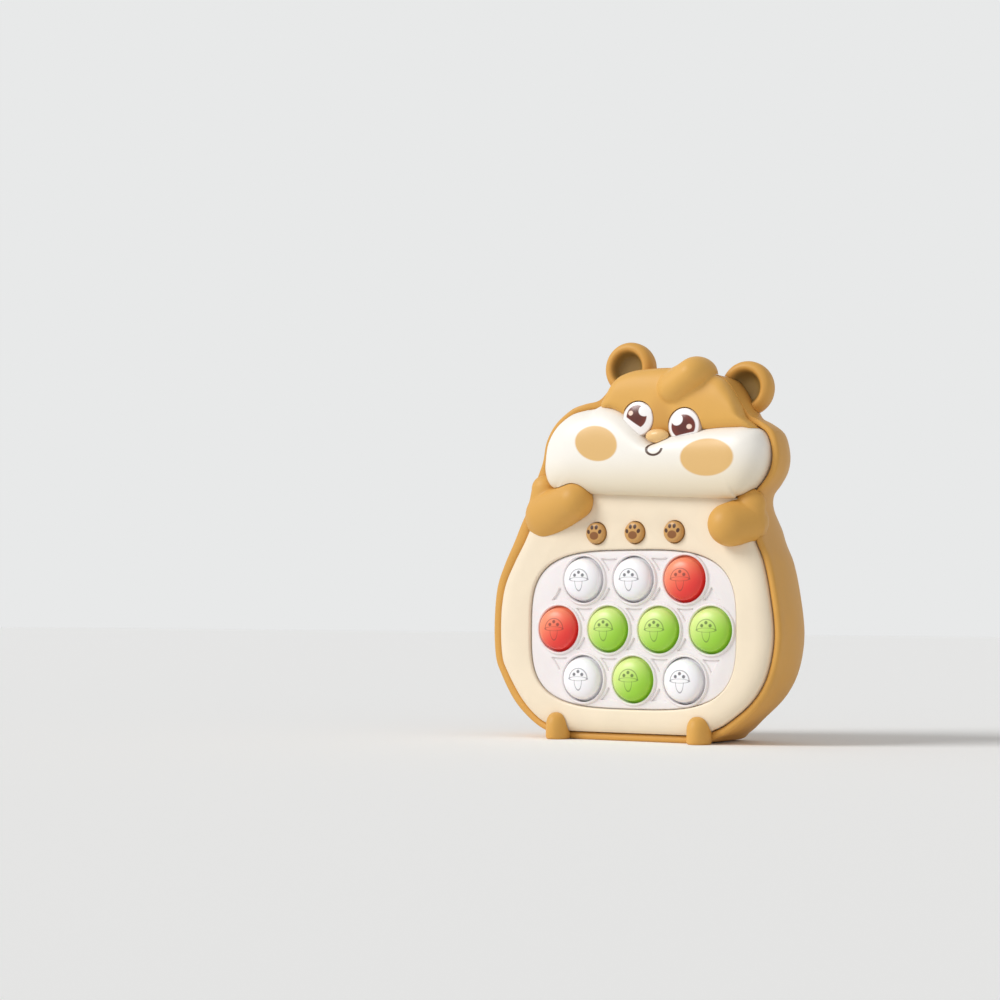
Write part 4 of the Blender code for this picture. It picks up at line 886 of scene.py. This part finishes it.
def makeHead():
    # The dome and its lock are softened with some depth to spare, and parted from the case afterwards.
    rings = foreheadRings(foreheadOutline, crownOutline)[3:]
    dome = loft([ringAt(crownOutline, plateBackY)] + rings)
    ends = [Vector(lockShape[key]) + Vector((0, rimY, 0)) for key in ("root", "tip", "blendRoot", "blendTip")]
    lock = limb(ends[0], ends[1], lockShape["radii"], lockShape["halfDepth"])
    blend = limb(ends[2], ends[3], lockShape["blendRadii"], lockShape["blendDepth"])
    head = meshObject("head_dome", together([dome, lock, blend]))
    soften(head, *lockShape["melt"])
    inside = drawnIn(outline, caseShape["innerEdge"])
    walls = meshObject("walls", grownCase(lockShape["wallGap"]))
    combine(walls, loft([ringAt(inside, rimY - overrun), ringAt(inside, backY + overrun)]))
    combine(head, walls)
    combine(head, loft(cheekRings(cheekOutline, touchGap)))
    for x, z in (eyeShape["left_eye"], eyeShape["right_eye"]):
        combine(head, rod(eyeShape["radius"] + fitGap, rimY - eyeShape["holeReach"], rimY + overrun, x, z, 48))
    return head


# Painted shade under the lock and between the eyes.
headShadeBand = {"centre": (15.0, 113.5), "size": (4.6, 8.5), "turn": 4, "edge": 0.5, "share": 0.75,
            "colour": paint(206, 152, 74)}


def paintedHeadShade(tree, coords, base, shader):
    # Painted shade: a darker band runs from the lock down between the eyes to the nose.
    paintedShadeBand = spotMask(tree, coords, headShadeBand["centre"], headShadeBand["size"], headShadeBand["turn"], headShadeBand["edge"])
    return mixed(tree, mathOf(tree, "MULTIPLY", paintedShadeBand, headShadeBand["share"]), base, headShadeBand["colour"])


addPiece(makeHead(), moulded("head_tan", headLitLook, paintedHeadShade), "case", ["head_shell"], 60)


def unfold(thing, x, z, radius):
    # A flat map seen from the front, centred on the piece.
    layer = thing.data.uv_layers.new(name="front")
    for loop in thing.data.loops:
        place = thing.data.vertices[loop.vertex_index].co / mm
        layer.data[loop.index].uv = (0.5 + (place.x - x) / radius / 2, 0.5 + (place.z - z) / radius / 2)


eyeArt = {
    "left_eye": {"iris": (-0.03, 0.12), "reach": (0.66, 0.67), "cut": (0.547, 0.837, -0.277),
                 "big": (0.50, 0.45), "small": (-0.40, 0.34)},
    "right_eye": {"iris": (0.0, -0.04), "reach": (0.76, 0.67), "cut": (-0.174, 0.985, -0.487),
                  "big": (-0.38, 0.34), "small": (0.40, -0.08)},
}
eyeInk = {"rim": paint(176, 140, 110), "rimSize": (0.97, 0.97), "rimShare": 0.55, "iris": paint(108, 34, 14),
          "pupil": paint(60, 16, 8), "pupilSize": (0.42, 0.45), "pupilShare": 0.45,
          "big": paint(253, 250, 248), "bigSize": (0.38, 0.33), "small": paint(250, 222, 204),
          "smallSize": (0.16, 0.14)}


def eyePrints(art):
    # A brown iris, cut off along the cheek's edge, with a large and a small highlight.
    def decorate(tree, coords, base, shader):
        ink = eyeInk
        rim = lineMask(tree, coords, (0, 0), ink["rimSize"], 0, 0.04, unit=1.0)
        base = printedOver(tree, base, [mathOf(tree, "MULTIPLY", rim, ink["rimShare"])], ink["rim"])
        across, upwards, edge = art["cut"]
        reach = addNode(tree, "VectorMath", [(0, coords), (1, (across, 0, upwards))],
                        operation="DOT_PRODUCT").outputs["Value"]
        iris = mathOf(tree, "MULTIPLY", spotMask(tree, coords, art["iris"], art["reach"], 0, 0.05, unit=1.0),
                      stepOf(tree, reach, edge - 0.03, edge + 0.03))
        base = printedOver(tree, base, [iris], ink["iris"])
        pupil = spotMask(tree, coords, art["iris"], ink["pupilSize"], 0, 0.4, unit=1.0)
        shade = mathOf(tree, "MULTIPLY", mathOf(tree, "MULTIPLY", iris, pupil), ink["pupilShare"])
        base = printedOver(tree, base, [shade], ink["pupil"])
        big = spotMask(tree, coords, art["big"], ink["bigSize"], 0, 0.08, unit=1.0)
        small = spotMask(tree, coords, art["small"], ink["smallSize"], 0, 0.2, unit=1.0)
        base = printedOver(tree, base, [big], ink["big"])
        return printedOver(tree, base, [small], ink["small"])
    return decorate


eyeLook = {"colour": paint(253, 248, 246), "roughness": 0.22, "mottle": 0.01, "coat": 0.3, "bump": 0.03}
for name, art in eyeArt.items():
    x, z = eyeShape[name]
    front, radius = rimY - eyeShape["proud"], eyeShape["radius"]
    back = front + eyeShape["depth"]
    profile = [(radius * share, front - eyeShape["bulge"] * (1 - share ** 2)) for share in eyeShape["rings"]]
    profile += [(radius, front + eyeShape["edge"]), (radius, back), (0, back)]
    eye = meshObject(name + "_inlay", turned(profile, x, z))
    combine(eye, loft(cheekRings(cheekOutline, touchGap)))
    unfold(eye, x, z, radius)
    addPiece(eye, moulded(name + "_print", eyeLook, eyePrints(art), "front"), "case", [name])

noseShape = {"x": 14.1, "z": 109.2, "half": (4.5, 2.4, 2.5), "proud": 6.8, "cheekGap": 0.2, "headGap": 0.1}
ball = bmesh.new()
bmesh.ops.create_uvsphere(ball, u_segments=48, v_segments=24, radius=1.0)
centre = Vector((noseShape["x"], rimY - noseShape["proud"], noseShape["z"])) * mm
place = Matrix.Translation(centre) @ Matrix.Diagonal((*[size * mm for size in noseShape["half"]], 1.0))
bmesh.ops.transform(ball, matrix=place, verts=ball.verts)
nose = meshObject("nose_button", ball)
combine(nose, loft(cheekRings(cheekOutline, noseShape["cheekGap"])))
combine(nose, loft(foreheadRings(foreheadOutline, crownOutline, noseShape["headGap"])))
noseLook = {"colour": paint(240, 196, 130), "roughness": 0.35, "mottle": 0.05, "coat": 0.15}
addPiece(nose, moulded("nose_tan", noseLook), "case", ["nose"])


print("limbs")

earShape = {
    "left_ear": (-7.1, 136.2), "right_ear": (40.8, 126.5), "radius": 9.8, "depth": 9.0, "behind": 8.0,
    "profile": [(0.00, 0.46), (0.30, 0.45), (0.48, 0.38), (0.58, 0.20), (0.66, 0.06), (0.78, 0.00),
                (0.92, 0.08), (0.99, 0.24), (1.00, 0.44), (0.97, 0.66), (0.87, 0.85), (0.66, 0.96),
                (0.33, 0.99), (0.00, 1.00)],
    # The hollow's colour is a darker paint with the recess's painted shade in it.
    "hollow": 0.64, "hollowPaintAndShade": paint(136, 108, 56), "colouredTo": (0.0012, 0.0006),    # depths in metres
}


def earHollowPaintAndShade(tree, coords, base, shader):
    # The hollow is darker, partly its own darker paint and partly painted shade of the recess, and the back of
    # the ear isn't.
    size = (earShape["hollow"], earShape["hollow"])
    hollow = spotMask(tree, coords, (0, 0), size, 0, 0.14, unit=1.0)
    depth = addNode(tree, "SeparateXYZ", [(0, addNode(tree, "TexCoord").outputs["Object"])]).outputs[1]
    front = stepOf(tree, depth, *earShape["colouredTo"])
    return mixed(tree, mathOf(tree, "MULTIPLY", hollow, front), base, earShape["hollowPaintAndShade"])


for name in ("left_ear", "right_ear"):
    x, z = earShape[name]
    profile = [(radius * earShape["radius"], rimY + earShape["behind"] + depth * earShape["depth"])
               for radius, depth in curveThrough(earShape["profile"], 3, False)]
    profile = [(max(0, radius), y) for radius, y in profile]
    ear = meshObject(name + "_cup", turned(profile, x, z, 72))
    combine(ear, grownCase())
    unfold(ear, x, z, earShape["radius"])
    addPiece(ear, moulded(name + "_tan", tanLook, earHollowPaintAndShade, "front"), "case", [name], 50)

armLook = {"colour": paint(220, 166, 82), "roughness": 0.5, "mottle": 0.05, "gloss": 0.35}
for name in ("left_arm", "right_arm"):
    arm = armBody(name)
    combine(arm, grownCase(touchGap))
    combine(arm, loft(bellyRings(armShape["bellyGap"])))
    addPiece(arm, moulded(name + "_tan", armLook), "case", [name], 50)

footShape = {"left_foot": -29.1, "right_foot": 28.9, "halfWidth": 4.1, "halfDepth": 5.6, "height": 9.8,
             "forward": 2.4, "sides": 40,
             "profile": [(0.86, 0.0), (0.95, 0.025), (1.0, 0.10), (1.0, 0.30), (1.0, 0.50), (0.97, 0.64),
                         (0.88, 0.78), (0.74, 0.885), (0.55, 0.955), (0.32, 0.99), (0.12, 0.998)]}
for name in ("left_foot", "right_foot"):
    middle = Vector((footShape[name], rimY - footShape["forward"], 0))
    turns = [2 * math.pi * i / footShape["sides"] for i in range(footShape["sides"])]
    rings = []
    for wide, up in footShape["profile"]:
        halfWidth, halfDepth = footShape["halfWidth"] * wide, footShape["halfDepth"] * wide
        height = footShape["height"] * up
        rings.append([middle + Vector((halfWidth * math.cos(t), halfDepth * math.sin(t), height)) for t in turns])
    rings.append([middle + Vector((0, 0, footShape["height"]))])
    foot = meshObject(name + "_paw", loft(rings))
    combine(foot, grownCase())
    combine(foot, loft(bellyRings(fitGap)))
    addPiece(foot, moulded(name + "_tan", armLook), "case", [name], 50)


print("mat and bubbles")

bubbleShape = {"x": 2.4, "pitch": 20.8, "rowPitch": 18.0, "rows": (3, 4, 3), "radius": 8.2, "dome": 7.6,
               "height": 4.6, "edge": 0.8, "power": 2.7, "steps": 16,
               "flange": 3.8, "flangeWidth": 1.2, "flangeDepth": 1.0, "stem": 2.0, "stemFront": 2.4,
               "lights": "unlit unlit red red green green green unlit green unlit".split()}
matShape = {"inset": 0.35, "flangeWidth": 1.0, "flangeFront": 0.8, "flangeBack": 2.0, "plateau": 0.45,
            "margin": 2.2, "pocket": 0.75, "pocketReach": (4.05, 3.3), "pocketPull": 0.16,
            "pocketShares": (0.06, 0.3, 0.5, 0.7, 0.94), "ringOuter": 9.5, "ringCrest": 1.3, "hole": 8.5}


def bubbleSpots():
    spots = []
    for row, count in enumerate(bubbleShape["rows"]):
        z = windowShape["z"] + bubbleShape["rowPitch"] * (1 - row)
        for column in range(count):
            spots.append((bubbleShape["x"] + bubbleShape["pitch"] * (column - (count - 1) / 2), z))
    return spots


def pocketOutline(x, z, up, growth=0.0):
    # A triangle with curved-in sides and rounded corners, which points up or down.
    wide, tall = matShape["pocketReach"]
    angles = [math.radians(90 * up + 120 * index) for index in range(3)]
    corners = [Vector((x + wide * math.cos(angle), z + tall * math.sin(angle))) for angle in angles]
    points = []
    for a, b in zip(corners, corners[1:] + corners[:1]):
        for share in matShape["pocketShares"]:
            pull = 4 * share * (1 - share) * matShape["pocketPull"]
            points.append(tuple(a.lerp(b, share).lerp(Vector((x, z)), pull)))
    return grown(curveThrough(points, 3, True), growth)


def pocketPlaces(spots):
    # Between every three bubbles, and beside the outer ones where the mat has room.
    across, up, far = bubbleShape["pitch"] / 2, bubbleShape["rowPitch"] / 3, bubbleShape["rowPitch"] * 2 / 3
    moves = [(0, -far, -1), (0, far, 1)]
    moves += [move for side in (-across, across) for move in ((side, -up, 1), (side, up, -1))]
    places = {(round(x + dx, 3), round(z + dz, 3), turn) for x, z in spots for dx, dz, turn in moves}
    window = windowOutline(-matShape["margin"])
    return [place for place in sorted(places) if all(isInside(point, window) for point in pocketOutline(*place))]


def makeMat():
    shape = matShape
    front = windowOutline(-shape["inset"])
    wide = grown(front, shape["flangeWidth"])
    top, step, back = matY - shape["plateau"], matY + shape["flangeFront"], matY + shape["flangeBack"]
    rings = [ringAt(wide, back), ringAt(wide, step), ringAt(front, step), ringAt(front, top + 0.5),
             ringAt(grown(front, -0.2), top + 0.1), ringAt(grown(front, -0.5), top)]
    mat = meshObject("silicone_mat", loft(rings))
    spots = bubbleSpots()
    slopes = ((0.5, top - 0.4), (0.0, top + 0.2), (-0.2, top + shape["pocket"]))
    combine(mat, together([loft([ringAt(pocketOutline(*place, growth), y) for growth, y in slopes])
                           for place in pocketPlaces(spots)]))
    crest, hole, outer = matY - shape["ringCrest"], shape["hole"], shape["ringOuter"]
    ringProfile = [(hole - 0.4, matY + 0.6), (hole - 0.4, crest + 0.6), (hole, crest + 0.25),
                   (hole + 0.2, crest + 0.06), (hole + 0.42, crest), (hole + 0.64, crest + 0.08),
                   (outer - 0.14, crest + 0.4), (outer, top + 0.04), (outer + 0.1, top + 0.6),
                   (hole - 0.4, matY + 0.6)]
    combine(mat, together([turned(ringProfile, x, z, 72) for x, z in spots]), "UNION")
    combine(mat, together([rod(hole, crest - overrun, matY + 2 * overrun, x, z, 72) for x, z in spots]))
    return mat


matLook = {"colour": paint(240, 234, 234), "roughness": 0.48, "mottle": 0.02, "subsurface": 0.05}
addPiece(makeMat(), moulded("mat_silicone", matLook), "case", ["bubble_mat"])


def bubbleProfile():
    # A soft dome with a straight skirt, a flange behind the mat, and a stem that presses the switch.
    bubble = bubbleShape
    radius, dome, wide, stem = (bubble[size] for size in ("radius", "dome", "flangeWidth", "stem"))
    crown, edge, flange = matY - bubble["height"], matY - bubble["edge"], bellyY + bubble["flange"]
    back = flange + bubble["flangeDepth"]
    profile = []
    for step in range(bubble["steps"] + 1):
        share = math.sin(math.pi / 2 * step / bubble["steps"])
        fall = 1 - (1 - share ** bubble["power"]) ** (1 / bubble["power"])
        profile.append((dome * share, crown + (edge - crown) * fall))
    profile += [(dome + 0.05, edge + 0.5), (radius - 0.1, edge + 1.0), (radius, flange), (radius + wide, flange),
                (radius + wide, back), (radius - wide, back), (radius - wide, edge + 0.9),
                (stem, crown + bubble["stemFront"]), (stem, back - 0.1), (0, back - 0.1)]
    return profile


def motif(tree, coords):
    # A thin-line mushroom with three dots on its cap.
    lines = (((0, 0.0), (0.46, 0.46), 0.05, 1), ((0, 0.0), (0.46, 0.09), 0.10, 0),
             ((0, -0.06), (0.19, 0.44), 0.07, -1))
    spots = ((-0.20, 0.19), (0.20, 0.19), (0.0, 0.32))
    return ([lineMask(tree, coords, centre, size, 0, wide, side, unit=1.0) for centre, size, wide, side in lines],
            [spotMask(tree, coords, spot, (0.075, 0.075), 0, 0.3, unit=1.0) for spot in spots])


# The way and blend entries paint light across each bubble; ink is the strength of the printed lines.
bubblePaintedLightAndInk = {"way": (-0.5, 0, 0.6), "blend": (-0.55, 0.75), "ink": (0.6, 0.9)}


def bubblePrintsAndPaintedLight(low, high, glow, ink):
    # Painted light, lighter towards the upper left and shaded towards the lower right, with the line drawing over
    # it.
    def decorate(tree, coords, base, shader):
        paintedLightShare = addNode(tree, "VectorMath", [(0, coords), (1, bubblePaintedLightAndInk["way"])],
                        operation="DOT_PRODUCT").outputs["Value"]
        base = mixed(tree, stepOf(tree, paintedLightShare, *bubblePaintedLightAndInk["blend"]), low, high)
        # The glow of a lit bubble takes the painted light gradient as its colour.
        if glow:
            tree.links.new(base, shader.inputs["Emission Color"])
            shader.inputs["Emission Strength"].default_value = glow
        for masks, strength in zip(motif(tree, coords), bubblePaintedLightAndInk["ink"]):
            for mask in masks:
                base = mixed(tree, mathOf(tree, "MULTIPLY", mask, strength), base, ink)
        return base
    return decorate


bubbleLook = {"colour": paint(245, 243, 246), "roughness": 0.38, "mottle": 0.02, "bump": 0.05, "coat": 0.1,
              "subsurface": 0.05}
# Painted shaded lower colour, painted lit upper colour, glow and line colour of each light.
bubbleLights = {
    "unlit": (paint(246, 244, 248), paint(253, 253, 255), 0, paint(90, 90, 96)),
    "red": (paint(222, 48, 42), paint(240, 142, 104), 0.12, paint(110, 50, 40)),
    "green": (paint(146, 200, 50), paint(214, 232, 140), 0.12, paint(66, 90, 40)),
}
bubbleFinish = {light: moulded("bubble_" + light, bubbleLook, bubblePrintsAndPaintedLight(*colours), "front")
                for light, colours in bubbleLights.items()}
for index, (x, z) in enumerate(bubbleSpots()):
    name = f"bubble_{index + 1:02d}"
    light = bubbleShape["lights"][index]
    bubble = meshObject(name + "_dome", turned(bubbleProfile(), x, z, 64))
    unfold(bubble, x, z, bubbleShape["radius"])
    addPiece(bubble, bubbleFinish[light], name, [name], 40)


def pawPrint(tree, coords, base, shader):
    # Four toes over a lighter pad.
    places = (((-0.62, 0.12), 25), ((-0.24, 0.54), 8), ((0.24, 0.54), -8), ((0.62, 0.12), -25))
    toes = [spotMask(tree, coords, spot, (0.17, 0.22), turn, 0.2, unit=1.0) for spot, turn in places]
    pad = spotMask(tree, coords, (0, -0.26), (0.48, 0.38), 0, 0.12, unit=1.0)
    base = printedOver(tree, base, [pad], paint(136, 84, 36))
    return printedOver(tree, base, toes, paint(74, 40, 20))


keyLook = {"colour": paint(206, 156, 88), "roughness": 0.4, "mottle": 0.04, "coat": 0.08}
keyFinish = moulded("key_tan", keyLook, pawPrint, "front")


def keyProfile():
    # A rounded cap, a flange behind the belly plate, and a stem that presses the switch.
    key = keyShape
    radius, wide, stem = key["radius"], key["flangeRadius"], key["stem"]
    crown, flange, end = bellyY - key["proud"], bellyY + key["flange"], boxOf("mode_key")[1].y
    back = flange + key["flangeDepth"]
    profile = [(across, crown + depth) for across, depth in key["crown"]]
    return profile + [(radius, flange), (wide, flange), (wide, back), (stem, back), (stem, end), (0, end)]


for name, (x, z) in zip(("mode_key", "power_key", "volume_key"), keySpots()):
    key = meshObject(name + "_cap", turned(keyProfile(), x, z, keyShape["sides"]))
    unfold(key, x, z, keyShape["radius"])
    addPiece(key, keyFinish, name, [name], 40)


print("inside")

plainLooks = {
    "grid": {"colour": paint(225, 225, 225), "roughness": 0.5},
    "board": {"colour": paint(36, 110, 62), "roughness": 0.45, "mottle": 0.2, "mottleScale": 300.0},
    "switch": {"colour": paint(40, 40, 42), "roughness": 0.4, "mottle": 0.2},
    "steel": {"colour": paint(190, 190, 194), "roughness": 0.3, "metallic": 1.0, "mottle": 0.1},
    "paper": {"colour": paint(44, 42, 40), "roughness": 0.8, "mottle": 0.2},
    "lead": {"colour": paint(170, 40, 34), "roughness": 0.45, "mottle": 0.1},
}
insideFinish = {name: moulded("inside_" + name, look) for name, look in plainLooks.items()}


screwSizes = {"shaft": 1.25, "thread": 0.28, "pitch": 0.7, "head": 2.4, "headDepth": 1.1, "cross": (1.35, 0.3),
              "crossDepth": 0.75}


def makeScrew(name, headShift=0.0):
    # A cross-head screw that points towards the front.
    low, high = boxOf(name)
    x, z, tip, top = (low.x + high.x) / 2, (low.z + high.z) / 2, low.y, high.y + headShift
    shaft, head, under = screwSizes["shaft"], screwSizes["head"], top - screwSizes["headDepth"]
    profile = [(0, tip), (0.5, tip + 0.1), (shaft * 0.8, tip + 0.6)]
    y = tip + 0.8
    while y < under - 0.8:
        profile += [(shaft, y), (shaft - screwSizes["thread"], y + screwSizes["pitch"] / 2)]
        y += screwSizes["pitch"]
    profile += [(shaft, under - 0.2), (shaft, under), (head, under), (head, under + 0.35),
                (head * 0.9, top - 0.25), (head * 0.6, top - 0.06), (0, top)]
    screw = meshObject(name + "_cross", turned(profile, x, z, 40))
    for half, wide in (screwSizes["cross"], screwSizes["cross"][::-1]):
        combine(screw, roundedBlock((x - half, top - screwSizes["crossDepth"], z - wide),
                                    (x + half, top + overrun, z + wide)))
    return screw


for index in range(len(posts)):
    name = f"case_screw_{index + 1}"
    addPiece(makeScrew(name), insideFinish["steel"], "case", [name], 35)


cellMarks = {"copper": (32.9, 33.1), "button": (42.85, 43.0), "base": (0.5, 0.35),
             "copperColour": paint(196, 128, 62), "steelColour": paint(188, 188, 190)}


def cellPrints(start, way):
    # A dark sleeve with a copper band at the raised end, and bare steel at both ends.
    def decorate(tree, coords, base, shader):
        across = addNode(tree, "SeparateXYZ", [(0, coords)]).outputs[0]
        along = mathOf(tree, "MULTIPLY", mathOf(tree, "SUBTRACT", across, start * mm), way / mm)
        for mark, colour in (("copper", "copperColour"), ("button", "steelColour"), ("base", "steelColour")):
            base = mixed(tree, stepOf(tree, along, *cellMarks[mark]), base, cellMarks[colour])
        return base
    return decorate


# Radius and place along the cell, from its flat end.
cellShape = [(0, 0.1), (3.5, 0.1), (4.1, 0.0), (4.75, 0.0), (5.1, 0.15), (5.25, 0.5), (5.25, 42.8),
             (5.1, 43.25), (4.7, 43.5), (4.35, 43.4), (4.2, 43.05), (2.3, 43.0), (2.05, 43.3), (1.9, 44.0),
             (1.65, 44.4), (0, 44.5)]
cellLook = {"colour": paint(46, 56, 70), "roughness": 0.35, "mottle": 0.05, "coat": 0.2, "bump": 0.04}
for index, way in enumerate((1, -1, 1)):
    name = f"battery_{index + 1}"
    low, high = boxOf(name)
    start = low.x if way > 0 else high.x
    profile = [(radius, start + way * along) for radius, along in cellShape]
    body = turned(profile, 0, (low.z + high.z) / 2, 64, alongX=True, y=(low.y + high.y) / 2)
    finish = moulded(name + "_sleeve", cellLook, cellPrints(start, way))
    addPiece(meshObject(name + "_cell", body), finish, "case", [name], 35)


coilShape = {"wire": 0.28, "base": 2.7, "tip": 1.6, "rise": 1.4, "turns": 3.5, "steps": 84, "sides": 10,
             "plate": 0.5, "plateEdge": 0.12}


def coil(wall, z, way):
    # A wire that winds from the plate towards the cell and narrows as it goes.
    spring = coilShape
    y = sum(corner.y for corner in boxOf("battery_1")) / 2
    path = []
    for step in range(spring["steps"] + 1):
        share = step / spring["steps"]
        angle = 2 * math.pi * spring["turns"] * share
        radius = spring["base"] + (spring["tip"] - spring["base"]) * share
        along = wall + way * (spring["plate"] + spring["wire"] * 0.7 + spring["rise"] * share)
        path.append(Vector((along, y + radius * math.cos(angle), z + radius * math.sin(angle))))
    turns = [2 * math.pi * i / spring["sides"] for i in range(spring["sides"])]
    rings = []
    for before, point, after in zip(path[:1] + path[:-1], path, path[1:] + path[-1:]):
        run = (after - before).normalized()
        side = run.cross(Vector((1, 0, 0))).normalized()
        over = run.cross(side)
        rings.append([point + (side * math.cos(t) + over * math.sin(t)) * spring["wire"] for t in turns])
    return loft(rings)


def contactShape(name, coilZ, way):
    # A bent steel plate, with a coil spring where the flat end of a cell presses on it.
    low, high = boxOf(name)
    wall = low.x if way > 0 else high.x
    left, right = sorted((wall, wall + way * coilShape["plate"]))
    bodies = [roundedBlock((left, low.y, low.z), (right, high.y, high.z), edge=coilShape["plateEdge"])]
    if coilZ:
        bodies.append(coil(wall, coilZ, way))
    return meshObject(name + "_plate", together(bodies))


rows = [sum(corner.z for corner in boxOf(f"battery_{index}")) / 2 for index in (1, 2, 3)]
for name, coilZ, way in (("contact_bridge_left", rows[0], 1), ("contact_single_left", rows[2], 1),
                         ("contact_single_right", None, -1), ("contact_bridge_right", rows[1], -1)):
    addPiece(contactShape(name, coilZ, way), insideFinish["steel"], "case", [name], 35)

doorShape = {"edge": 0.35, "corner": 1.2, "tongueLow": 60.8, "tabThick": 1.2, "tabTop": 30.0, "tabEdge": 0.2,
             "hookLow": 27.2, "hookTop": 29.8, "hookSink": 0.5, "hookEdge": 0.1,
             "ribs": 6, "ribHalf": 8.0, "ribLow": 47.0, "ribPitch": 2.0, "ribCut": 0.45,
             "seatRadius": 2.7, "seatDepth": 1.15, "holeRadius": 1.55}


def makeDoor():
    # A lid with a tongue for its screw, two tabs that reach under the shell, and ribs for a thumb.
    low, high = boxOf("battery_door")
    shape, bay = doorShape, bayShape
    inside, out, past = bay["back"] + fitGap, high.y, high.y + overrun
    edge, corner = shape["edge"], shape["corner"]
    door = meshObject("battery_hatch", roundedBlock((low.x, inside, bay["doorLow"] + fitGap),
                                                    (high.x, out, bay["doorHigh"] - fitGap), corner, edge))
    half = bay["tongueHalf"] - fitGap
    combine(door, roundedBlock((-half, inside, shape["tongueLow"]), (half, out, high.z), corner, edge), "UNION")
    half = bay["tabHalf"] - fitGap
    for x in bay["tabs"]:
        left, right = x - half, x + half
        tab = roundedBlock((left, low.y, low.z), (right, low.y + shape["tabThick"], shape["tabTop"]),
                           edge=shape["tabEdge"])
        combine(door, tab, "UNION")
        hook = roundedBlock((left, low.y + shape["tabEdge"], shape["hookLow"]),
                            (right, inside + shape["hookSink"], shape["hookTop"]), edge=shape["hookEdge"])
        combine(door, hook, "UNION")
    half, cut = shape["ribHalf"], shape["ribCut"]
    for index in range(shape["ribs"]):
        z = shape["ribLow"] + shape["ribPitch"] * index
        combine(door, roundedBlock((-half, out - cut, z - cut), (half, past, z + cut)))
    combine(door, rod(shape["seatRadius"], out - shape["seatDepth"], past, 0, bay["screwZ"], 40))
    combine(door, rod(shape["holeRadius"], inside - overrun, past, 0, bay["screwZ"]))
    return door


addPiece(makeDoor(), moulded("hatch_tan", tanLook), "battery_door", ["battery_door"])
addPiece(makeScrew("door_screw", -0.03), insideFinish["steel"], "battery_door", ["door_screw"], 35)

nodeSlots = {
    "light_grid": "grid", "main_board": "board", "speaker_frame": "steel", "speaker_cone": "paper",
    "battery_leads": "lead", "speaker_leads": "lead",
    "mode_switch": "switch", "power_switch": "switch", "volume_switch": "switch",
}
nodeSlots.update({f"bubble_switch_{index + 1:02d}": "switch" for index in range(10)})
for name, slotName in nodeSlots.items():
    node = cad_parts[name]
    node.data.materials.clear()
    node.data.materials.append(insideFinish[slotName])


print("stage")

scene = bpy.context.scene
scene.view_settings.view_transform = "Standard"
stageLook = {"floor": paint(251, 251, 250), "floorRoughness": 0.9, "floorSize": 8.0,
             "sky": paint(232, 233, 233), "ambient": 0.42}

slab = bmesh.new()
bmesh.ops.create_grid(slab, x_segments=1, y_segments=1, size=stageLook["floorSize"])
floor = meshObject("floor", slab)
floorFinish = bpy.data.materials.new("floor")
floorFinish.use_nodes = True
floorSockets = floorFinish.node_tree.nodes["Principled BSDF"].inputs
floorSockets["Base Color"].default_value = stageLook["floor"]
floorSockets["Roughness"].default_value = stageLook["floorRoughness"]
floor.data.materials.append(floorFinish)

world = bpy.data.worlds.new("room")
scene.world = world
world.use_nodes = True
tree = world.node_tree
backdrop = tree.nodes["Background"]
rays = addNode(tree, "LightPath").outputs
indirect = mathOf(tree, "MAXIMUM", rays["Is Glossy Ray"], rays["Is Transmission Ray"])
seen = mathOf(tree, "MAXIMUM", rays["Is Camera Ray"], indirect)
tree.links.new(mixed(tree, seen, (1, 1, 1, 1), stageLook["sky"]), backdrop.inputs["Color"])
strength = addNode(tree, "MapRange", [(0, seen), (1, 0.0), (2, 1.0), (3, stageLook["ambient"]), (4, 1.0)])
tree.links.new(strength.outputs[0], backdrop.inputs["Strength"])

lampLooks = {
    "key": {"place": (-0.75, -0.95, 0.95), "strength": 1.92, "spread": 28},
    "fill": {"place": (0.9, -0.7, 0.35), "strength": 0.2, "spread": 60},
}
target = Vector((0, 0, 0.07))
for name, look in lampLooks.items():
    lamp = bpy.data.lights.new(name, "SUN")
    lamp.energy = look["strength"]
    lamp.angle = math.radians(look["spread"])
    thing = bpy.data.objects.new(name, lamp)
    thing.location = look["place"]
    thing.rotation_euler = (target - Vector(look["place"])).to_track_quat("-Z", "Y").to_euler()
    scene.collection.objects.link(thing)

cameraView = {"azimuth": 28.931, "elevation": -2.0, "distance": 0.80, "yaw": 3.899, "pitch": -1.238,
              "roll": -0.439, "focal": 2177.5, "frame": 1000.0}


def wayAt(azimuth, elevation):
    a, e = math.radians(azimuth), math.radians(elevation)
    return Vector((math.sin(a) * math.cos(e), -math.cos(a) * math.cos(e), math.sin(e)))


eyePoint = target + wayAt(cameraView["azimuth"], cameraView["elevation"]) * cameraView["distance"]
turn = cameraView["azimuth"] + cameraView["yaw"]
backward = wayAt(turn, cameraView["elevation"] + cameraView["pitch"])
right = Vector((math.cos(math.radians(turn)), math.sin(math.radians(turn)), 0))
upward = backward.cross(right)
roll = math.radians(cameraView["roll"])
rollRight = right * math.cos(roll) - upward * math.sin(roll)
rollUp = right * math.sin(roll) + upward * math.cos(roll)
lens = bpy.data.cameras.new("camera")
lens.sensor_width = 36.0
lens.lens = 36.0 * cameraView["focal"] / cameraView["frame"]
lens.clip_start = 0.01
camera = bpy.data.objects.new("camera", lens)
camera.matrix_world = Matrix.Translation(eyePoint) @ Matrix((rollRight, rollUp, backward)).transposed().to_4x4()
scene.collection.objects.link(camera)
scene.camera = camera
